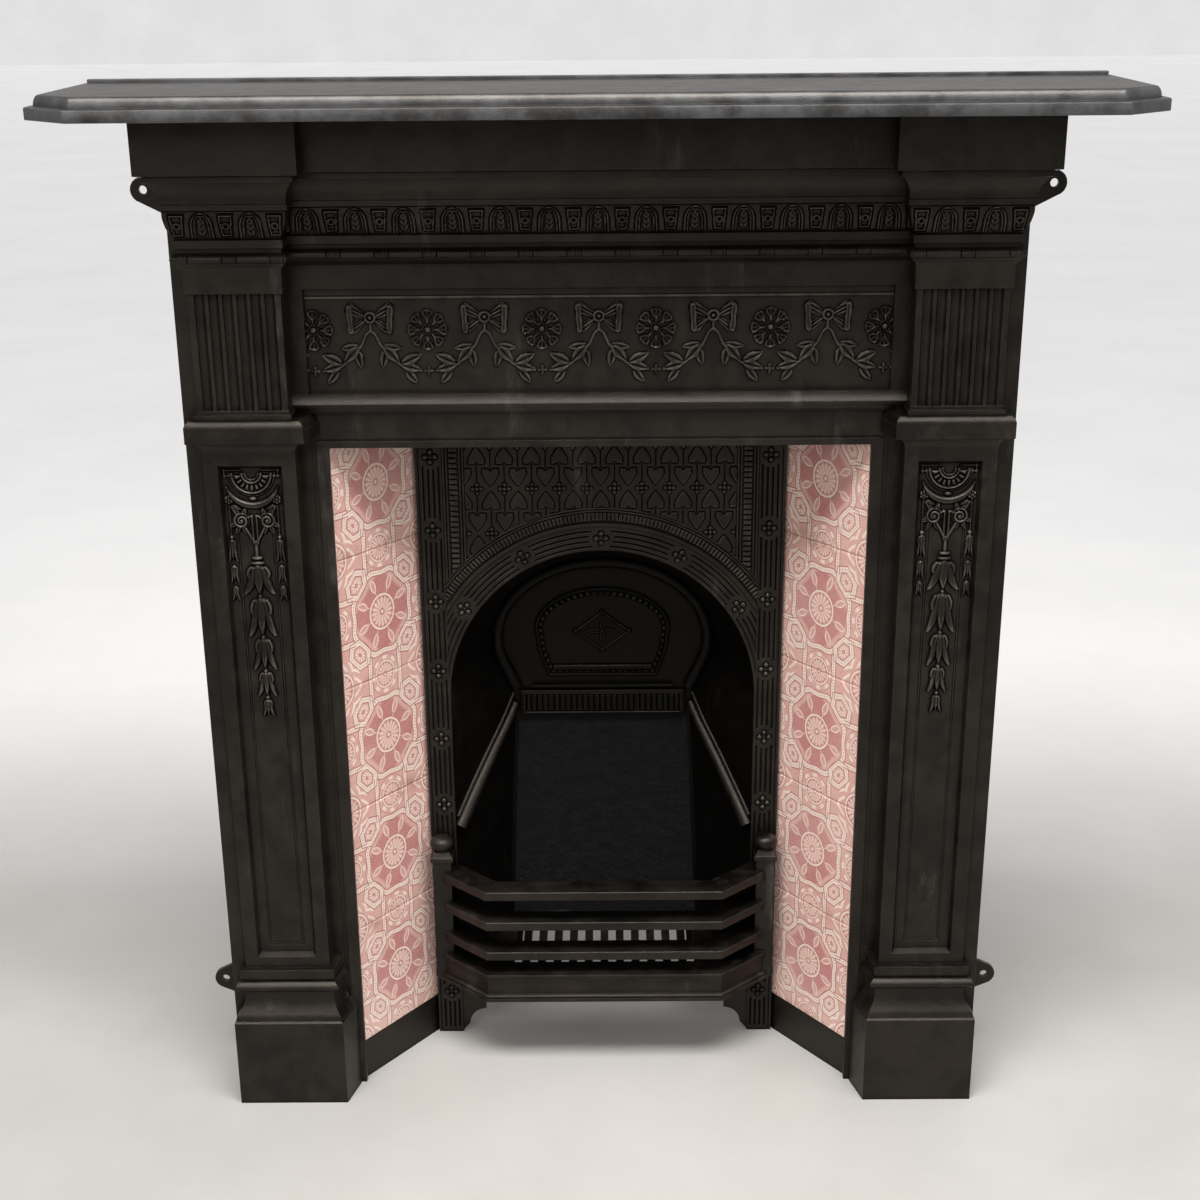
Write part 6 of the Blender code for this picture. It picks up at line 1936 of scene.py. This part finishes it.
def hood_point(share, z):
    """Half width of the firebox cheek at a share of its depth and a height."""
    ring = hood_ring(share)
    for (ax, az), (bx, bz) in zip(ring, ring[1:]):
        if az <= z <= bz:
            return ax + (bx - ax) * (z - az) / max(bz - az, 1e-9)
    return ring[0][0]


def firebox_mouldings(darker_iron, iron):
    """The roll round the horseshoe and the sloping rolls on both cheeks."""
    rear_height, fall = 0.413, 0.133
    ring = hood_ring(1.0)[4:]
    centre = ring[-1][1] - 100 * MM
    path = []
    for x, z in ring:
        inward = Vector((-x, centre - z)).normalized() * 5 * MM
        path.append((x + inward.x, HOOD_DEPTH - 1.5 * MM, z + inward.y))
    path[-1] = (0.0, path[-1][1], path[-1][2])
    whole = path + [(-x, y, z) for x, y, z in reversed(path[:-1])]
    mesh = rod("horseshoe_roll", whole, [7.6 * MM] * len(whole))
    add_piece("horseshoe_roll", mesh, darker_iron, ["fireback"], 60)
    for side, label in SIDES:
        for name, radius, raise_by in (("roll", 5.6 * MM, 0.0), ("bead", 2.0 * MM, 14 * MM)):
            points = []
            radii = []
            for i in range(13):
                share = 0.985 - 0.955 * i / 12
                z = rear_height - fall * (1 - share) + raise_by
                x = hood_point(share, z)
                y = PLATE_THICK + share * (HOOD_DEPTH - PLATE_THICK)
                radii.append(radius * (1 + 0.055 * i))
                points.append((side * (x - 0.3 * radii[-1]), y, z))
            mesh = rod(f"cheek_{name}_{label}", points, radii)
            add_piece(f"cheek_{name}_{label}", mesh, iron, ["fireback"], 60)


def pale_stage(name, bm):
    """A plain pale surface with a painted glow that grows stronger with its distance behind the piece.
    """
    mesh = mesh_from(name, bm)
    made, tree, shader, place = graph_material("pale_" + name)
    cloud = noise(tree, place, 1.4, 6.0, 0.6)
    color = blend_color(tree, ramp(tree, cloud, 0.3, 0.75), (0.36, 0.35, 0.335), (0.44, 0.427, 0.41))
    split = tree.nodes.new("ShaderNodeSeparateXYZ")
    tree.links.new(place, split.inputs[0])
    tree.links.new(color, shader.inputs["Base Color"])
    shader.inputs["Roughness"].default_value = 0.6
    # Painted glow: the floor and backdrop give off light, more of it further behind the piece.
    shader.inputs["Emission Color"].default_value = (0.97, 0.98, 1.0, 1)
    glow = ramp(tree, split.outputs[1], 0.15, 1.6, 0.0, 0.52)
    tree.links.new(glow, shader.inputs["Emission Strength"])
    mesh.materials.append(made)
    obj = bpy.data.objects.new(name, mesh)
    bpy.context.scene.collection.objects.link(obj)


def pale_surroundings():
    bm = bmesh.new()
    bmesh.ops.create_circle(bm, cap_ends=True, segments=96, radius=30)
    pale_stage("floor", bm)
    bm = bmesh.new()
    corners = [(-30, 26, -0.01), (30, 26, -0.01), (30, 26, 14), (-30, 26, 14)]
    bm.faces.new([bm.verts.new(corner) for corner in corners])
    pale_stage("backdrop", bm)


def area_light(name, place, target, width, height, power, tint=(1.0, 1.0, 1.0)):
    light = bpy.data.lights.new(name, "AREA")
    light.shape = "RECTANGLE"
    light.size = width
    light.size_y = height
    light.energy = power
    light.color = tint
    obj = bpy.data.objects.new(name, light)
    obj.location = place
    aim = Vector(target) - Vector(place)
    obj.rotation_euler = aim.to_track_quat("-Z", "Y").to_euler()
    bpy.context.scene.collection.objects.link(obj)


def soft_lights():
    world = bpy.data.worlds.new("studio")
    world.use_nodes = True
    shade = world.node_tree.nodes["Background"]
    shade.inputs["Color"].default_value = (1.0, 0.99, 0.985, 1)
    shade.inputs["Strength"].default_value = 0.46
    bpy.context.scene.world = world
    area_light("overhead", (0.0, -1.1, 2.8), (0, -0.1, 0.4), 2.2, 0.9, 132, (1.0, 0.985, 0.96))
    area_light("front", (-1.2, -3.0, 2.1), (0, 0, 0.5), 1.2, 1.0, 24, (1.0, 0.98, 0.95))
    area_light("side", (2.3, -1.3, 1.7), (0, 0, 0.6), 0.7, 1.5, 16)


def photo_camera():
    """The photograph's own viewpoint, with the lens shifted up as it was framed."""
    yaw, pitch, turn = -0.0058, 0.3841, -0.0087
    focal, photo_side, frame_shift, film = 1944.96, 1200, 145, 36
    place = (0.00936, -2.18675 + ROW_SHIFT, 1.28080)
    ahead = Vector(
        (math.sin(yaw) * math.cos(pitch), math.cos(yaw) * math.cos(pitch), -math.sin(pitch))
    )
    right = Vector((math.cos(yaw), -math.sin(yaw), 0))
    up = right.cross(ahead)
    tilted_right = right * math.cos(turn) + up * math.sin(turn)
    tilted_up = up * math.cos(turn) - right * math.sin(turn)
    data = bpy.data.cameras.new("camera")
    data.sensor_width = film
    data.lens = film * focal / photo_side
    data.shift_y = frame_shift / photo_side
    camera = bpy.data.objects.new("camera", data)
    bpy.context.scene.collection.objects.link(camera)
    rotation = Matrix((tilted_right, tilted_up, -ahead)).transposed().to_4x4()
    camera.matrix_world = Matrix.Translation(place) @ rotation
    bpy.context.scene.camera = camera


photo_camera()
bpy.context.scene.view_settings.view_transform = "Standard"
soft_lights()
pale_surroundings()
BLACK_IRON = iron_material(
    "blacked_iron", (0.0011, 0.0009, 0.0008), (0.0098, 0.0079, 0.0063), (0.070, 0.060, 0.052), 0.42
)
# A darker copy of the iron, for the fireback, its fluted band and damper plate, and the horseshoe roll.
DARK_FIREBOX_IRON = iron_material(
    "dark_firebox_iron",
    (0.0005, 0.0005, 0.0004),
    (0.0020, 0.0018, 0.0016),
    (0.030, 0.028, 0.026),
    gloss=0.48,
    shine=0.16,
    dust=0.10,
)
# The shelf's iron gets painted shade on its upward faces.
SHELF_IRON = iron_material(
    "graphite_iron",
    (0.013, 0.0138, 0.0150),
    (0.052, 0.054, 0.058),
    (0.24, 0.245, 0.26),
    gloss=0.38,
    shine=0.5,
    dust=0.5,
    top=0.7,
)
GLAZE = tile_material()
BRICK = brick_material()
shelf_casting(SHELF_IRON)
surround_casting(BLACK_IRON)
insert_casting(BLACK_IRON)
tile_pieces(GLAZE)
fireback_casting(DARK_FIREBOX_IRON)
bars_casting(BLACK_IRON)
frieze_relief(BLACK_IRON)
pilaster_reliefs(BLACK_IRON)
band_reliefs(BLACK_IRON)
strip_reliefs(BLACK_IRON)
arch_relief(BLACK_IRON)
spandrel_relief(BLACK_IRON)
fluted_band(DARK_FIREBOX_IRON)
flap_relief(DARK_FIREBOX_IRON)
firebox_mouldings(DARK_FIREBOX_IRON, BLACK_IRON)
for node, material in (("bottom_grate", BLACK_IRON), ("firebrick", BRICK)):
    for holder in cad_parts[node].material_slots:
        holder.material = material
